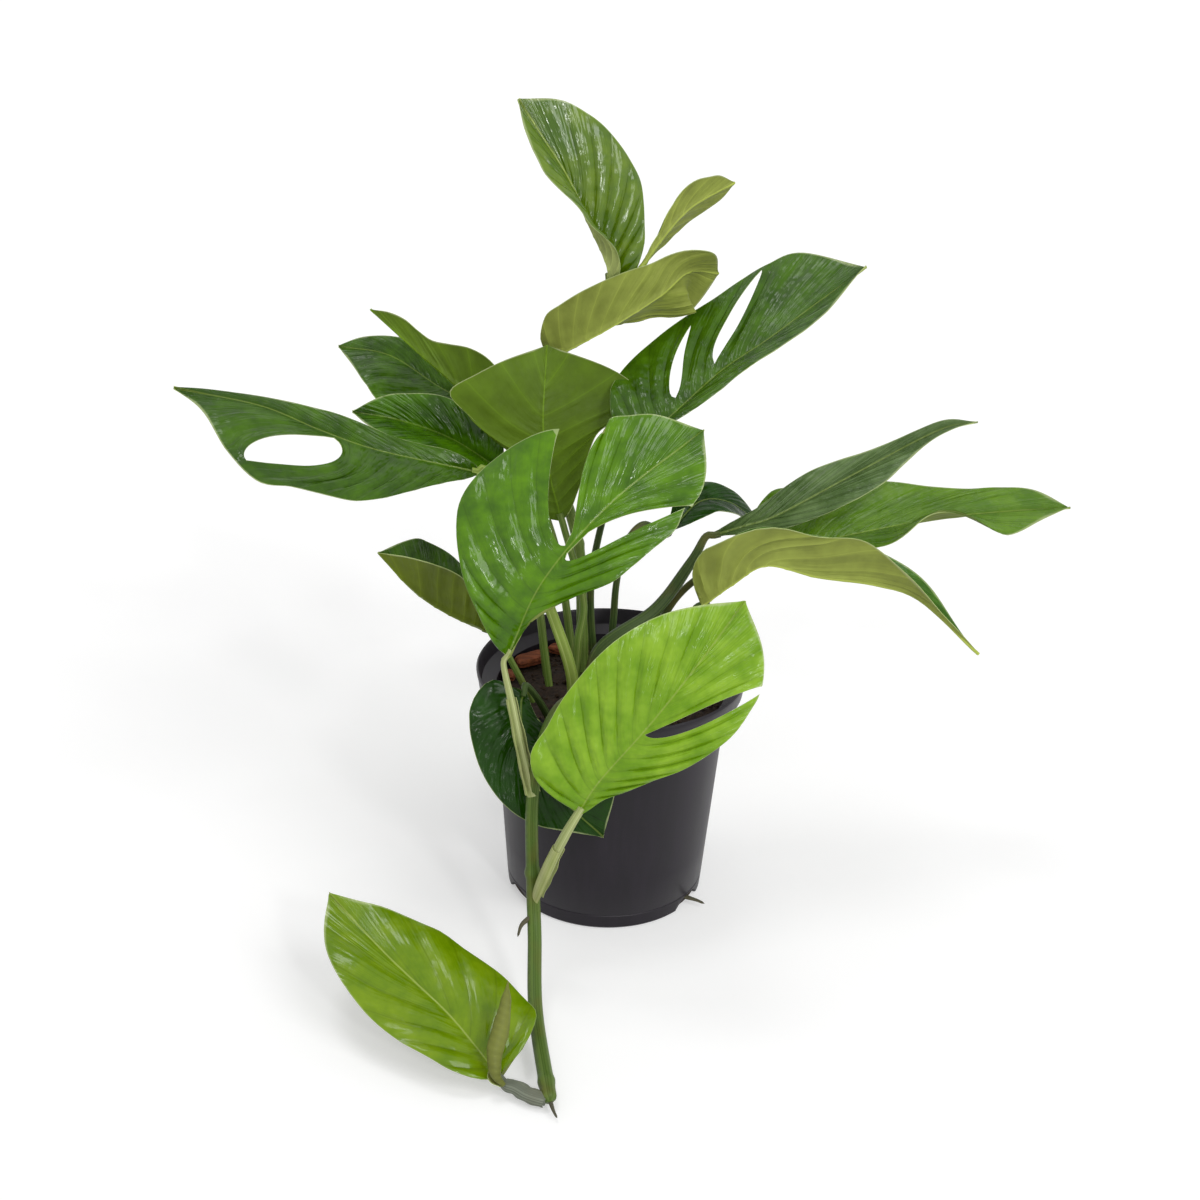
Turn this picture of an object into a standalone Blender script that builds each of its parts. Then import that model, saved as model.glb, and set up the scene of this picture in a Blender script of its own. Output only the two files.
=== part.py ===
"""A potted climbing monstera: a nursery pot, its soil, the standing leaves and a stem that trails over it.

Run with: blender --background --python part.py
Lengths below are millimetres and +Z is up. The pot stands on z = 0 with its axis on the Z axis.
"""

from dataclasses import dataclass
from math import cos, pi, radians, sin

import bmesh
import bpy
from mathutils import Matrix, Vector

MM = 0.001
OBJECT_NAME = "potted_monstera"

# The pot: a turned nursery pot with a stepped collar and three drainage notches in its foot.
POT_HEIGHT = 137.0
RIM_RADIUS = 75.0
NECK_RADIUS = 65.5
FOOT_RADIUS = 56.0
COLLAR_HEIGHT = 11.0
COLLAR_TAPER = 1.5
WALL = 1.6
FLOOR_THICKNESS = 2.2
POT_STEPS = 56
NOTCH_ANGLES = (-150.0, -30.0, 90.0)
NOTCH_HEIGHT = 8.0
NOTCH_RADIUS = 14.0
NOTCH_DEPTH = 12.0

# The soil fills the pot to a little below the rim and clears the wall by the gap kept between pieces.
SOIL_TOP = 119.0
SOIL_MOUND = 4.0
GAP = 0.3

# Mesh fineness and thickness.
LEAF_ROWS = 11
PLAIN_COLUMNS = 3
SPLIT_COLUMNS = 6
LEAF_THICKNESS = 0.6
STALK_SIDES = 2
STALK_SEAT = 4.0

# The form of a blade. The powers set how blunt its base is, how close together its side veins start, how much
# they bend forward and how square the ends of a slit are. A slit moves the flesh beside it over the reach.
BASE_BLUNTNESS = 0.55
VEIN_CROWDING = 1.25
VEIN_BEND = 1.2
SLIT_SQUARENESS = 0.7
SLIT_REACH = 0.12

BARK_WEAR = 1.2
MERGE_DISTANCE = 1e-6

SOIL = "potting_soil"


@dataclass(frozen=True)
class Finish:
    """A plain surface: its name, colour and roughness."""

    name: str
    colour: tuple
    roughness: float


PLASTIC = Finish("pot_plastic", (0.035, 0.028, 0.034), 0.45)
PEAT = Finish("peat", (0.03, 0.02, 0.015), 0.95)
BARK = Finish("bark", (0.25, 0.08, 0.04), 0.9)
YOUNG_LEAF = Finish("young_leaf", (0.21, 0.42, 0.03), 0.35)
MID_LEAF = Finish("mid_leaf", (0.08, 0.27, 0.01), 0.3)
OLD_LEAF = Finish("old_leaf", (0.015, 0.06, 0.005), 0.3)
STEM = Finish("stem_skin", (0.11, 0.17, 0.04), 0.5)
ROOT = Finish("root_skin", (0.12, 0.09, 0.05), 0.8)


@dataclass(frozen=True)
class Split:
    """A slit or hole along a side vein, from its inner to its outer share of the way to the margin.

    An outer end past 1 leaves the slit open. The lean moves the widest place in (under 1) or out (over 1).
    """

    side: int
    at: float
    inner: float
    outer: float
    gap: float
    lean: float = 1.0


@dataclass(frozen=True)
class Half:
    """One side of a blade: widths evenly spaced from base to tip, and degrees raised from flat along it.

    The more its side veins sweep, the nearer the tip they meet the margin.
    """

    widths: tuple
    fold: tuple = (10.0,)
    curl: tuple = (0.0,)
    sweep: float = 2.3


@dataclass(frozen=True)
class Leaf:
    """A blade: its midrib from base to tip, which way its upper side faces, and its two halves."""

    name: str
    finish: Finish
    midrib: tuple
    faces: tuple
    left: Half
    right: Half
    splits: tuple = ()


@dataclass(frozen=True)
class Stalk:
    """A round stem, stalk or root along hand-placed points, with radii spread along it.

    It grows from the soil or another stalk, and a leaf's stalk goes on to the base of the blade it carries.
    """

    name: str
    points: tuple
    radii: tuple
    grows_from: str
    carries: str = ""
    finish: Finish = STEM


LEAVES = (
    Leaf(
        "leaf_crown_top",
        MID_LEAF,
        ((-9, 62, 338), (-11, 60, 349), (-30, 68, 387), (-46, 74, 410), (-60, 80, 429)),
        ((0.25, -0.9, 0.3),),
        left=Half((17, 21, 23, 19, 10), (130, 75, 45, 35)),
        right=Half((26, 34, 36, 32, 23), (20, 8, 5)),
    ),
    Leaf(
        "leaf_crown_narrow",
        YOUNG_LEAF,
        ((7, 70, 343), (18, 82, 357), (34, 96, 372), (60, 110, 386)),
        ((-0.5, 0.8, 0.35),),
        left=Half((2, 8, 15, 15, 10)),
        right=Half((2, 7, 11, 12, 9)),
    ),
    Leaf(
        "leaf_crown_rolled",
        YOUNG_LEAF,
        ((-41, 62, 294), (-34, 60, 298), (-8, 60, 313), (19, 66, 330), (34, 76, 341), (51, 90, 337)),
        ((0.0, 0.8, 0.5),),
        left=Half((3, 5, 12, 28, 26), (80, 60, 30, 10, 0)),
        right=Half((26, 28, 25, 17, 10)),
    ),
    Leaf(
        "leaf_right_split",
        MID_LEAF,
        ((5, -5, 267), (26, 12, 280), (53, 40, 297), (78, 60, 309), (107, 80, 326), (133, 95, 342)),
        ((-0.3, -0.55, 0.8),),
        left=Half((40, 46, 44, 44, 44), (5,), sweep=3.4),
        right=Half((18, 23, 23, 20, 13), (25,)),
        splits=(Split(-1, 0.2, 0.17, 0.83, 11.0, 0.6), Split(-1, 0.37, 0.17, 0.96, 15.0)),
    ),
    Leaf(
        "leaf_far_left",
        MID_LEAF,
        ((-75, 10, 245), (-127, 0, 259), (-156, -8, 272), (-185, -16, 287), (-228, -20, 296)),
        ((0.1, -0.45, 0.9),),
        left=Half((22, 36, 44, 52, 22), (5,), sweep=3.2),
        right=Half((8, 10, 12, 10, 5), (30, 20, 10, 0)),
        splits=(Split(-1, 0.42, 0.17, 0.83, 36.0),),
    ),
    Leaf(
        "leaf_centre_back",
        MID_LEAF,
        ((-30, 15, 217), (-38, 24, 242), (-42, 30, 268), (-41, 44, 306)),
        ((0.0, 0.9, 0.3),),
        left=Half((12, 16, 30, 50, 36), (-5,)),
        right=Half((19, 36, 50, 48, 28), (-21,)),
    ),
    Leaf(
        "leaf_centre_front",
        MID_LEAF,
        ((-53, -75, 178), (-41, -70, 210), (-32, -62, 223), (-23, -55, 236), (-3, -42, 251), (43, -10, 280)),
        ((0.1, -0.8, 0.6),),
        left=Half((35, 57, 56, 40, 22), (15,)),
        right=Half((6, 25, 36, 34, 23), (15,), sweep=3.0),
        splits=(Split(-1, 0.4, 0.17, 1.9, 28.0), Split(1, 0.36, 0.17, 1.02, 18.0, 1.2)),
    ),
    Leaf(
        "leaf_rim_bright",
        YOUNG_LEAF,
        ((-14, -115, 111), (-4, -115, 130), (21, -110, 162), (44, -98, 191), (65, -80, 216)),
        ((0.15, -0.8, 0.6),),
        left=Half((35, 41, 42, 37, 24), (8,)),
        right=Half((12, 24, 33, 34, 26), (8,)),
        splits=(Split(1, 0.4, 0.1, 1.2, 12.0),),
    ),
    Leaf(
        "leaf_floor",
        YOUNG_LEAF,
        ((-47, -195, 9), (-72, -171, 24), (-93, -154, 33), (-111, -141, 42), (-142, -112, 55)),
        ((0.3, -0.6, 0.7),),
        left=Half((23, 29, 31, 29, 20)),
        right=Half((33, 36, 33, 27, 15)),
    ),
    Leaf(
        "leaf_rim_dark",
        OLD_LEAF,
        ((-45, -60, 150), (-46, -71, 146), (-42, -81, 125), (-27, -84, 104), (-1, -84, 78)),
        ((0.0, -0.9, 0.3),),
        left=Half((8, 22, 33, 33, 25)),
        right=Half((27, 27, 25, 20, 11)),
    ),
    Leaf(
        "leaf_left_low",
        OLD_LEAF,
        ((-67, -15, 163), (-88, -20, 175), (-106, -25, 190), (-124, -30, 213)),
        ((0.1, -0.2, 1.0),),
        left=Half((18, 24, 26, 24, 16), (75,)),
        right=Half((24, 30, 30, 26, 16), (25,)),
    ),
    Leaf(
        "leaf_left_dark",
        OLD_LEAF,
        ((-69, 85, 248), (-105, 95, 264), (-134, 103, 279), (-164, 107, 282)),
        ((0.1, -0.5, 0.85),),
        left=Half((29, 36, 36, 34, 21)),
        right=Half((14, 18, 18, 16, 11)),
    ),
    Leaf(
        "leaf_left_back",
        MID_LEAF,
        ((-83, 50, 254), (-100, 56, 268), (-116, 66, 289), (-126, 74, 302), (-141, 80, 312)),
        ((0.5, -0.55, 0.65),),
        left=Half((5, 8, 11, 13, 9), (120,)),
        right=Half((30, 36, 30, 17, 8), (0,)),
    ),
    Leaf(
        "leaf_left_cupped",
        OLD_LEAF,
        ((-65, 30, 239), (-92, 35, 254), (-120, 37, 263), (-146, 37, 267)),
        ((0.0, -0.4, 0.9),),
        left=Half((12, 22, 26, 24, 16), (20,)),
        right=Half((12, 18, 20, 18, 12), (55,)),
    ),
    Leaf(
        "leaf_right_upper",
        OLD_LEAF,
        ((54, 30, 205), (71, 31, 211), (89, 34, 217), (132, 48, 238), (176, 60, 260), (199, 66, 264)),
        ((-0.3, -0.5, 0.8),),
        left=Half((10, 14, 11, 6, 4), (40,)),
        right=Half((8, 15, 18, 12, 4), (5,)),
    ),
    Leaf(
        "leaf_right_far",
        MID_LEAF,
        ((74, 40, 194), (104, 46, 194), (131, 52, 199), (182, 60, 208), (230, 62, 214), (256, 60, 217)),
        ((0.0, -0.4, 0.9),),
        left=Half((38, 36, 28, 20, 16)),
        right=Half((16, 24, 24, 12, 16), (0, 5, 10, 60, 10, 0)),
    ),
    Leaf(
        "leaf_right_drooping",
        YOUNG_LEAF,
        (
            (48, -5, 179),
            (63, -5, 192),
            (81, -3, 203),
            (110, 4, 194),
            (143, 9, 188),
            (169, 12, 178),
            (204, 10, 147),
        ),
        ((0.0, -0.1, 1.0),),
        left=Half((22, 24, 24, 16, 6), (40,)),
        right=Half((28, 24, 20, 10, 2), (85,)),
    ),
    Leaf(
        "leaf_right_back",
        OLD_LEAF,
        ((31, 55, 190), (47, 70, 206), (65, 78, 205), (84, 85, 190)),
        ((0.0, -0.3, 0.95),),
        left=Half((6, 10, 12, 10, 6)),
        right=Half((5, 8, 10, 9, 5)),
    ),
)

STALKS = (
    Stalk(
        "trailing_stem",
        (
            (-14, -38, 118),
            (-22, -64, 147),
            (-32, -88, 142),
            (-38, -97, 109),
            (-37, -100, 60),
            (-35, -112, 34),
            (-32, -150, 14),
            (-22, -208, 6),
        ),
        (3.0, 3.3, 3.7, 3.9),
        SOIL,
    ),
    Stalk(
        "crown_stem_tall",
        (
            (-16, 20, 118),
            (-20, 30, 189),
            (-31, 44, 225),
            (-41, 60, 262),
            (-41, 72, 292),
            (-26, 76, 310),
            (-14, 75, 320),
        ),
        (3.4, 2.6),
        SOIL,
    ),
    Stalk(
        "stalk_crown_top",
        ((-32, 75, 305), (-18, 73, 323)),
        (2.0, 1.8),
        "crown_stem_tall",
        "leaf_crown_top",
    ),
    Stalk(
        "stalk_crown_narrow",
        ((-14, 75, 320), (-3, 71, 332)),
        (1.8, 1.4),
        "crown_stem_tall",
        "leaf_crown_narrow",
    ),
    Stalk(
        "stalk_crown_rolled",
        ((-42, 70, 285), (-45, 67, 290)),
        (1.8, 1.6),
        "crown_stem_tall",
        "leaf_crown_rolled",
    ),
    Stalk(
        "stalk_centre_back",
        ((-20, 0, 118), (-19, 1, 150), (-17, 5, 174)),
        (2.6, 1.9),
        SOIL,
        "leaf_centre_back",
    ),
    Stalk(
        "stalk_right_split",
        ((-8, 8, 118), (-13, 9, 172), (-10, 6, 209)),
        (2.2, 1.7),
        SOIL,
        "leaf_right_split",
    ),
    Stalk(
        "stalk_far_left",
        ((-20, -18, 118), (-22, -19, 142), (-32, -10, 168), (-50, 0, 210)),
        (3.4, 2.2),
        SOIL,
        "leaf_far_left",
    ),
    Stalk(
        "stalk_left_dark",
        ((-22, 38, 118), (-34, 58, 180), (-54, 78, 226)),
        (2.4, 1.8),
        SOIL,
        "leaf_left_dark",
    ),
    Stalk(
        "stalk_left_back",
        ((-36, 16, 118), (-46, 28, 180), (-66, 42, 228)),
        (2.4, 1.8),
        SOIL,
        "leaf_left_back",
    ),
    Stalk(
        "stalk_left_cupped",
        ((-34, 2, 118), (-44, 12, 180), (-55, 24, 220)),
        (2.2, 1.7),
        SOIL,
        "leaf_left_cupped",
    ),
    Stalk("stalk_left_low", ((-42, -14, 118), (-56, -15, 147)), (2.0, 1.6), SOIL, "leaf_left_low"),
    Stalk("stalk_rim_dark", ((-29, -42, 118), (-38, -50, 140)), (2.2, 1.7), SOIL, "leaf_rim_dark"),
    Stalk(
        "stalk_right_upper",
        ((-10, -8, 118), (-7, -2, 146), (23, 12, 166), (42, 25, 190)),
        (3.4, 2.2),
        SOIL,
        "leaf_right_upper",
    ),
    Stalk(
        "stalk_right_far",
        ((14, 30, 118), (34, 38, 160), (58, 39, 184)),
        (2.4, 1.8),
        SOIL,
        "leaf_right_far",
    ),
    Stalk(
        "stalk_right_drooping",
        ((8, 6, 118), (24, -2, 150), (42, -6, 166)),
        (2.4, 1.8),
        SOIL,
        "leaf_right_drooping",
    ),
    Stalk(
        "stalk_right_back",
        ((0, 26, 118), (2, 30, 150), (12, 38, 176)),
        (2.2, 1.6),
        SOIL,
        "leaf_right_back",
    ),
    Stalk(
        "stalk_centre_front",
        ((-38, -98, 110), (-45, -95, 127), (-49, -88, 147), (-53, -79, 165)),
        (3.2, 2.2),
        "trailing_stem",
        "leaf_centre_front",
    ),
    Stalk(
        "stalk_rim_bright",
        ((-36, -101, 48), (-31, -107, 66), (-26, -111, 82), (-20, -114, 98)),
        (2.6, 4.2, 3.0, 2.4),
        "trailing_stem",
        "leaf_rim_bright",
    ),
    Stalk(
        "stalk_floor",
        ((-25, -202, 7), (-30, -203, 7), (-37, -200, 7)),
        (2.4, 4.2, 2.4),
        "trailing_stem",
        "leaf_floor",
    ),
    Stalk(
        "leaf_unfurling",
        (
            (-40, -199, 8),
            (-46, -200, 14),
            (-50, -196, 22),
            (-48, -187, 32),
            (-46, -178, 40),
            (-45, -171, 48),
        ),
        (1.4, 2.4, 3.4, 3.2, 2.2, 0.6),
        "stalk_floor",
        finish=YOUNG_LEAF,
    ),
    Stalk(
        "stem_end_root",
        ((-22, -206, 5), (-20, -212, 4), (-18, -216, 3)),
        (1.2, 0.6),
        "trailing_stem",
        finish=ROOT,
    ),
    Stalk(
        "aerial_root",
        ((-37, -107, 42), (-42, -109, 38), (-44, -110, 31)),
        (1.5, 0.6),
        "trailing_stem",
        finish=ROOT,
    ),
    Stalk("root_at_drain", ((44, -26, 4), (53, -30, 4), (58, -32, 3)), (1.4, 0.7), SOIL, finish=ROOT),
)

# Chips of bark on the soil: their middle, length, width, height and turn in degrees.
BARK_CHIPS = (
    ("bark_chip_large", (-46, 30), 20.0, 10.0, 5.0, 35.0),
    ("bark_chip_flat", (-31, 46), 12.0, 8.0, 4.0, -20.0),
    ("bark_chip_small", (-57, 12), 9.0, 6.0, 4.0, 80.0),
    ("bark_chip_right", (36, 30), 16.0, 9.0, 5.0, -50.0),
    ("bark_chip_front", (22, -42), 13.0, 8.0, 4.0, 15.0),
)


def clear_scene():
    """Remove whatever the startup file put in the scene."""
    for obj in list(bpy.data.objects):
        bpy.data.objects.remove(obj, do_unlink=True)


def make_collection(name, shown=True):
    """A new collection in the scene; a hidden one holds the cutters."""
    collection = bpy.data.collections.new(name)
    collection.hide_render = not shown
    bpy.context.scene.collection.children.link(collection)
    return collection


def material(finish):
    """The Principled material for a finish, made once."""
    made = bpy.data.materials.get(finish.name)
    if made:
        return made
    made = bpy.data.materials.new(finish.name)
    made.use_nodes = True
    shader = made.node_tree.nodes["Principled BSDF"]
    shader.inputs["Base Color"].default_value = (*finish.colour, 1.0)
    shader.inputs["Roughness"].default_value = finish.roughness
    return made


def add_object(name, data, collection, finish=None):
    """Link a new object that holds this mesh or curve."""
    obj = bpy.data.objects.new(name, data)
    collection.objects.link(obj)
    if finish:
        obj.data.materials.append(material(finish))
    return obj


def mesh_of(bm, name):
    """Turn a bmesh into a mesh and free it."""
    mesh = bpy.data.meshes.new(name)
    bm.to_mesh(mesh)
    bm.free()
    return mesh


def hide_cutter(obj):
    """Show a cutter as a wire in the viewport and leave it out of the part."""
    obj.hide_render = True
    obj.display_type = "WIRE"
    return obj


def cut(obj, cutter, name):
    """Take the cutter's shape out of the object."""
    boolean = obj.modifiers.new(name, "BOOLEAN")
    boolean.operation = "DIFFERENCE"
    boolean.solver = "EXACT"
    boolean.object = cutter


def smooth_path(points, t):
    """The point at t in 0..1 on a Catmull-Rom curve through the points."""
    spans = len(points) - 1
    i = min(int(t * spans), spans - 1)
    f = t * spans - i
    p1 = Vector(points[i])
    p2 = Vector(points[i + 1])
    p0 = Vector(points[i - 1]) if i else 2 * p1 - p2
    p3 = Vector(points[i + 2]) if i + 2 < len(points) else 2 * p2 - p1
    return 0.5 * (
        2 * p1
        + (p2 - p0) * f
        + (2 * p0 - 5 * p1 + 4 * p2 - p3) * f**2
        + (3 * p1 - p0 - 3 * p2 + p3) * f**3
    )


def even_path(points, count):
    """Points at even distances along the smooth path."""
    fine = [smooth_path(points, i / 200) for i in range(201)]
    run = [0.0]
    for a, b in zip(fine, fine[1:]):
        run.append(run[-1] + (b - a).length)
    placed = []
    j = 0
    for i in range(count + 1):
        want = run[-1] * i / count
        while j < 199 and run[j + 1] < want:
            j += 1
        share = (want - run[j]) / (run[j + 1] - run[j])
        placed.append(fine[j].lerp(fine[j + 1], share))
    return placed


def along_length(values, t):
    """The value at t in 0..1 of a few values spread evenly from base to tip."""
    spans = len(values) - 1
    if spans == 0:
        return values[0]
    i = min(int(max(t, 0.0) * spans), spans - 1)
    f = min(max(t * spans - i, 0.0), 1.0)
    f = f * f * (3 - 2 * f)
    return values[i] * (1 - f) + values[i + 1] * f


def outline(widths, t):
    """The half width at t on a smooth margin: blunt at the base, pointed at the tip."""
    values = (0.0, *widths, 0.0)
    spans = len(values) - 1
    knots = [(i / spans) ** BASE_BLUNTNESS for i in range(spans + 1)]
    place = min(max(t, 0.0), 1.0) ** BASE_BLUNTNESS
    i = 0
    while i < spans - 1 and place > knots[i + 1]:
        i += 1
    slopes = []
    for k in (i, i + 1):
        low = max(k - 1, 0)
        high = min(k + 1, spans)
        slopes.append((values[high] - values[low]) / (knots[high] - knots[low]))
    step = knots[i + 1] - knots[i]
    f = (place - knots[i]) / step
    rise = (values[i + 1] - values[i]) * f * f * (3 - 2 * f)
    bend = step * (slopes[0] * f * (1 - f) ** 2 - slopes[1] * f * f * (1 - f))
    return max(0.0, values[i] + rise + bend)


class Blade:
    """Places points of the flat outline of a leaf on its bent surface."""

    STEPS = 60

    def __init__(self, leaf):
        self.leaf = leaf
        self.line = even_path(leaf.midrib, self.STEPS)
        self.length = sum((b - a).length for a, b in zip(self.line, self.line[1:]))
        self.faces = [Vector(face).normalized() for face in leaf.faces]

    def margin_share(self, a, half):
        """Where on the margin the side vein ends that leaves the midrib at a."""
        return 1 - (1 - a) ** half.sweep

    def rows(self, count):
        """Places of the side veins on the midrib, even between midrib and margin and closer at the base."""
        places = []
        for i in range(count + 1):
            want = (i / count) ** VEIN_CROWDING
            low, high = 0.0, 1.0
            for _ in range(30):
                middle = (low + high) / 2
                ends = [self.margin_share(middle, half) for half in (self.leaf.left, self.leaf.right)]
                if (middle + sum(ends) / 2) / 2 < want:
                    low = middle
                else:
                    high = middle
            places.append(high)
        places[0] = 0.0
        places[-1] = 1.0
        for split in self.leaf.splits:
            nearest = min(range(1, count), key=lambda i: abs(places[i] - split.at))
            places[nearest] = split.at
        return places

    def frame(self, t):
        """The midrib point, the direction to the right and the upward normal at t."""
        t = min(max(t, 0.0), 1.0)
        place = t * self.STEPS
        i = min(int(place), self.STEPS - 1)
        point = self.line[i].lerp(self.line[i + 1], place - i)
        low = max(i - 1, 0)
        high = min(i + 2, self.STEPS)
        along = (self.line[high] - self.line[low]).normalized()
        face = along_length(self.faces, t)
        normal = (face - face.dot(along) * along).normalized()
        return point, along.cross(normal), normal

    def opening(self, split, a, out, past):
        """How far along the leaf a point beside a slit is moved out of it, as a share of the length."""
        depth = (out - split.inner) / (split.outer - split.inner)
        if not 0 < depth < 1:
            return 0.0
        half_gap = split.gap / self.length / 2 * sin(pi * depth**split.lean) ** SLIT_SQUARENESS
        away = a - split.at
        direction = past if abs(away) < 1e-6 else (1 if away > 0 else -1)
        fade = max(0.0, 1 - abs(away) / (2 * half_gap + SLIT_REACH)) ** 2
        return direction * half_gap * fade

    def place(self, a, v, past=0):
        """The point at v of the way from the midrib at a to the margin, where v is negative on the left."""
        side = 1 if v > 0 else -1
        out = abs(v)
        half = self.leaf.right if side > 0 else self.leaf.left
        edge = self.margin_share(a, half)
        t = a + (edge - a) * out**VEIN_BEND
        for split in self.leaf.splits:
            if split.side == side:
                t += self.opening(split, a, out, past)
        y = outline(half.widths, edge) * out
        point, right, normal = self.frame(t)
        start = radians(along_length(half.fold, t))
        turn = radians(along_length(half.curl, t)) / max(half.widths)
        if abs(turn) < 1e-6:
            across = y * cos(start)
            up = y * sin(start)
        else:
            across = (sin(start + turn * y) - sin(start)) / turn
            up = (cos(start) - cos(start + turn * y)) / turn
        return point + right * side * across + normal * up


def split_edges_of(bm, split, columns):
    """The grid edges along a slit or hole, before the grid is bent."""
    first = round(split.inner * columns)
    last = columns if split.outer > 1 else min(round(split.outer * columns), columns - 1)
    edges = []
    for edge in bm.edges:
        outs = [split.side * vert.co.x * columns for vert in edge.verts]
        level = all(abs(vert.co.y - split.at) < 1e-5 for vert in edge.verts)
        if level and first - 0.1 < min(outs) and max(outs) < last + 0.1:
            edges.append(edge)
    return edges


def make_leaf(leaf, collection):
    """One blade: a grid along the midrib and the side veins, bent to shape and given its thickness."""
    blade = Blade(leaf)
    rows = blade.rows(LEAF_ROWS)
    columns = SPLIT_COLUMNS if leaf.splits else PLAIN_COLUMNS
    bm = bmesh.new()
    bmesh.ops.create_grid(bm, x_segments=2 * columns, y_segments=LEAF_ROWS, size=1.0)
    for vert in bm.verts:
        row = round((vert.co.y + 1) / 2 * LEAF_ROWS)
        vert.co = Vector((vert.co.x, rows[row], 0.0))
    for split in leaf.splits:
        bmesh.ops.split_edges(bm, edges=split_edges_of(bm, split, columns))
    places = []
    for vert in bm.verts:
        centre = sum(face.calc_center_median().y for face in vert.link_faces) / len(vert.link_faces)
        past = 1 if centre > vert.co.y else -1
        places.append((vert, blade.place(vert.co.y, vert.co.x, past) * MM))
    for vert, place in places:
        vert.co = place
    bmesh.ops.remove_doubles(bm, verts=bm.verts, dist=MERGE_DISTANCE)
    bmesh.ops.recalc_face_normals(bm, faces=bm.faces)
    obj = add_object(leaf.name, mesh_of(bm, leaf.name), collection, leaf.finish)
    thick = obj.modifiers.new("thickness", "SOLIDIFY")
    thick.thickness = LEAF_THICKNESS * MM
    thick.offset = 0.0
    return obj


def stalk_path(stalk):
    """Points along a stalk, which ends square to the base of its blade and just short of it."""
    leaf = next((leaf for leaf in LEAVES if leaf.name == stalk.carries), None)
    if leaf is None:
        return even_path(stalk.points, 2 * len(stalk.points))
    base = Vector(leaf.midrib[0])
    along = (even_path(leaf.midrib, Blade.STEPS)[1] - base).normalized()
    seat = base - along * (LEAF_THICKNESS / 2 + GAP)
    bend = base - along * STALK_SEAT
    return even_path((*stalk.points, bend), 2 * len(stalk.points) + 1) + [seat]


def stalk_mesh(name, stalk, extra):
    """The mesh of a tapered round stalk, made thicker all round by the extra radius."""
    path = stalk_path(stalk)
    count = len(path) - 1
    curve = bpy.data.curves.new(name, "CURVE")
    curve.dimensions = "3D"
    curve.bevel_depth = MM
    curve.bevel_resolution = STALK_SIDES
    curve.use_fill_caps = True
    spline = curve.splines.new("POLY")
    spline.points.add(count)
    for i, place in enumerate(path):
        spline.points[i].co = (*(place * MM), 1.0)
        spline.points[i].radius = along_length(stalk.radii, i / count) + extra
    holder = bpy.data.objects.new(name, curve)
    mesh = bpy.data.meshes.new_from_object(holder)
    bpy.data.objects.remove(holder)
    bpy.data.curves.remove(curve)
    bm = bmesh.new()
    bm.from_mesh(mesh)
    bmesh.ops.remove_doubles(bm, verts=bm.verts, dist=MERGE_DISTANCE)
    bmesh.ops.recalc_face_normals(bm, faces=bm.faces)
    bm.to_mesh(mesh)
    bm.free()
    return mesh


def make_stalk(stalk, collection, cutters):
    """A stem or stalk, cut back to just clear what it grows from."""
    obj = add_object(stalk.name, stalk_mesh(stalk.name, stalk, 0.0), collection, stalk.finish)
    if stalk.grows_from in cutters:
        cut(obj, cutters[stalk.grows_from], "clear_of_" + stalk.grows_from)
    return obj


def turned(name, profile, collection, finish=None):
    """A solid turned about the Z axis from an axis-to-axis profile of (radius, height) points."""
    bm = bmesh.new()
    verts = [bm.verts.new((r * MM, 0.0, z * MM)) for r, z in profile]
    for a, b in zip(verts, verts[1:]):
        bm.edges.new((a, b))
    obj = add_object(name, mesh_of(bm, name), collection, finish)
    screw = obj.modifiers.new("turn", "SCREW")
    screw.steps = POT_STEPS
    screw.render_steps = POT_STEPS
    screw.use_merge_vertices = True
    screw.merge_threshold = 1e-5
    screw.use_normal_calculate = True
    return obj


def make_notch_cutter(angle, collection):
    """A cylinder that lies across the pot's wall, so that it cuts an arch at the foot."""
    name = "notch_cutter_" + str(round(angle) % 360)
    bm = bmesh.new()
    bmesh.ops.create_cone(
        bm,
        cap_ends=True,
        segments=24,
        radius1=NOTCH_RADIUS * MM,
        radius2=NOTCH_RADIUS * MM,
        depth=2 * NOTCH_DEPTH * MM,
        matrix=Matrix.Rotation(pi / 2, 4, "Y"),
    )
    obj = add_object(name, mesh_of(bm, name), collection)
    around = radians(angle)
    wall = Vector((cos(around), sin(around), 0.0)) * FOOT_RADIUS
    obj.location = (wall + Vector((0.0, 0.0, NOTCH_HEIGHT - NOTCH_RADIUS))) * MM
    obj.rotation_euler = (0.0, 0.0, around)
    return hide_cutter(obj)


def make_pot(collection, cutter_collection):
    """The pot: one turned shell with arches cut in its foot."""
    neck_height = POT_HEIGHT - COLLAR_HEIGHT
    inner_foot = FOOT_RADIUS - WALL
    profile = (
        (0, 0),
        (FOOT_RADIUS - 1, 0),
        (FOOT_RADIUS, 1),
        (NECK_RADIUS, neck_height - 1),
        (RIM_RADIUS - COLLAR_TAPER, neck_height),
        (RIM_RADIUS, POT_HEIGHT - 1),
        (RIM_RADIUS - WALL / 2, POT_HEIGHT),
        (RIM_RADIUS - WALL, POT_HEIGHT - 1),
        (RIM_RADIUS - COLLAR_TAPER - WALL, neck_height + 2),
        (NECK_RADIUS - WALL, neck_height - 1),
        (inner_foot, FLOOR_THICKNESS),
        (0, FLOOR_THICKNESS),
    )
    pot = turned("pot", profile, collection, PLASTIC)
    for angle in NOTCH_ANGLES:
        cut(pot, make_notch_cutter(angle, cutter_collection), "notch_" + str(round(angle) % 360))
    return pot


def soil_radius(height):
    """The radius of the soil plug at a height, clear of the wall."""
    neck_height = POT_HEIGHT - COLLAR_HEIGHT - 1
    return FOOT_RADIUS - WALL - GAP + (NECK_RADIUS - FOOT_RADIUS) * height / neck_height


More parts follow.
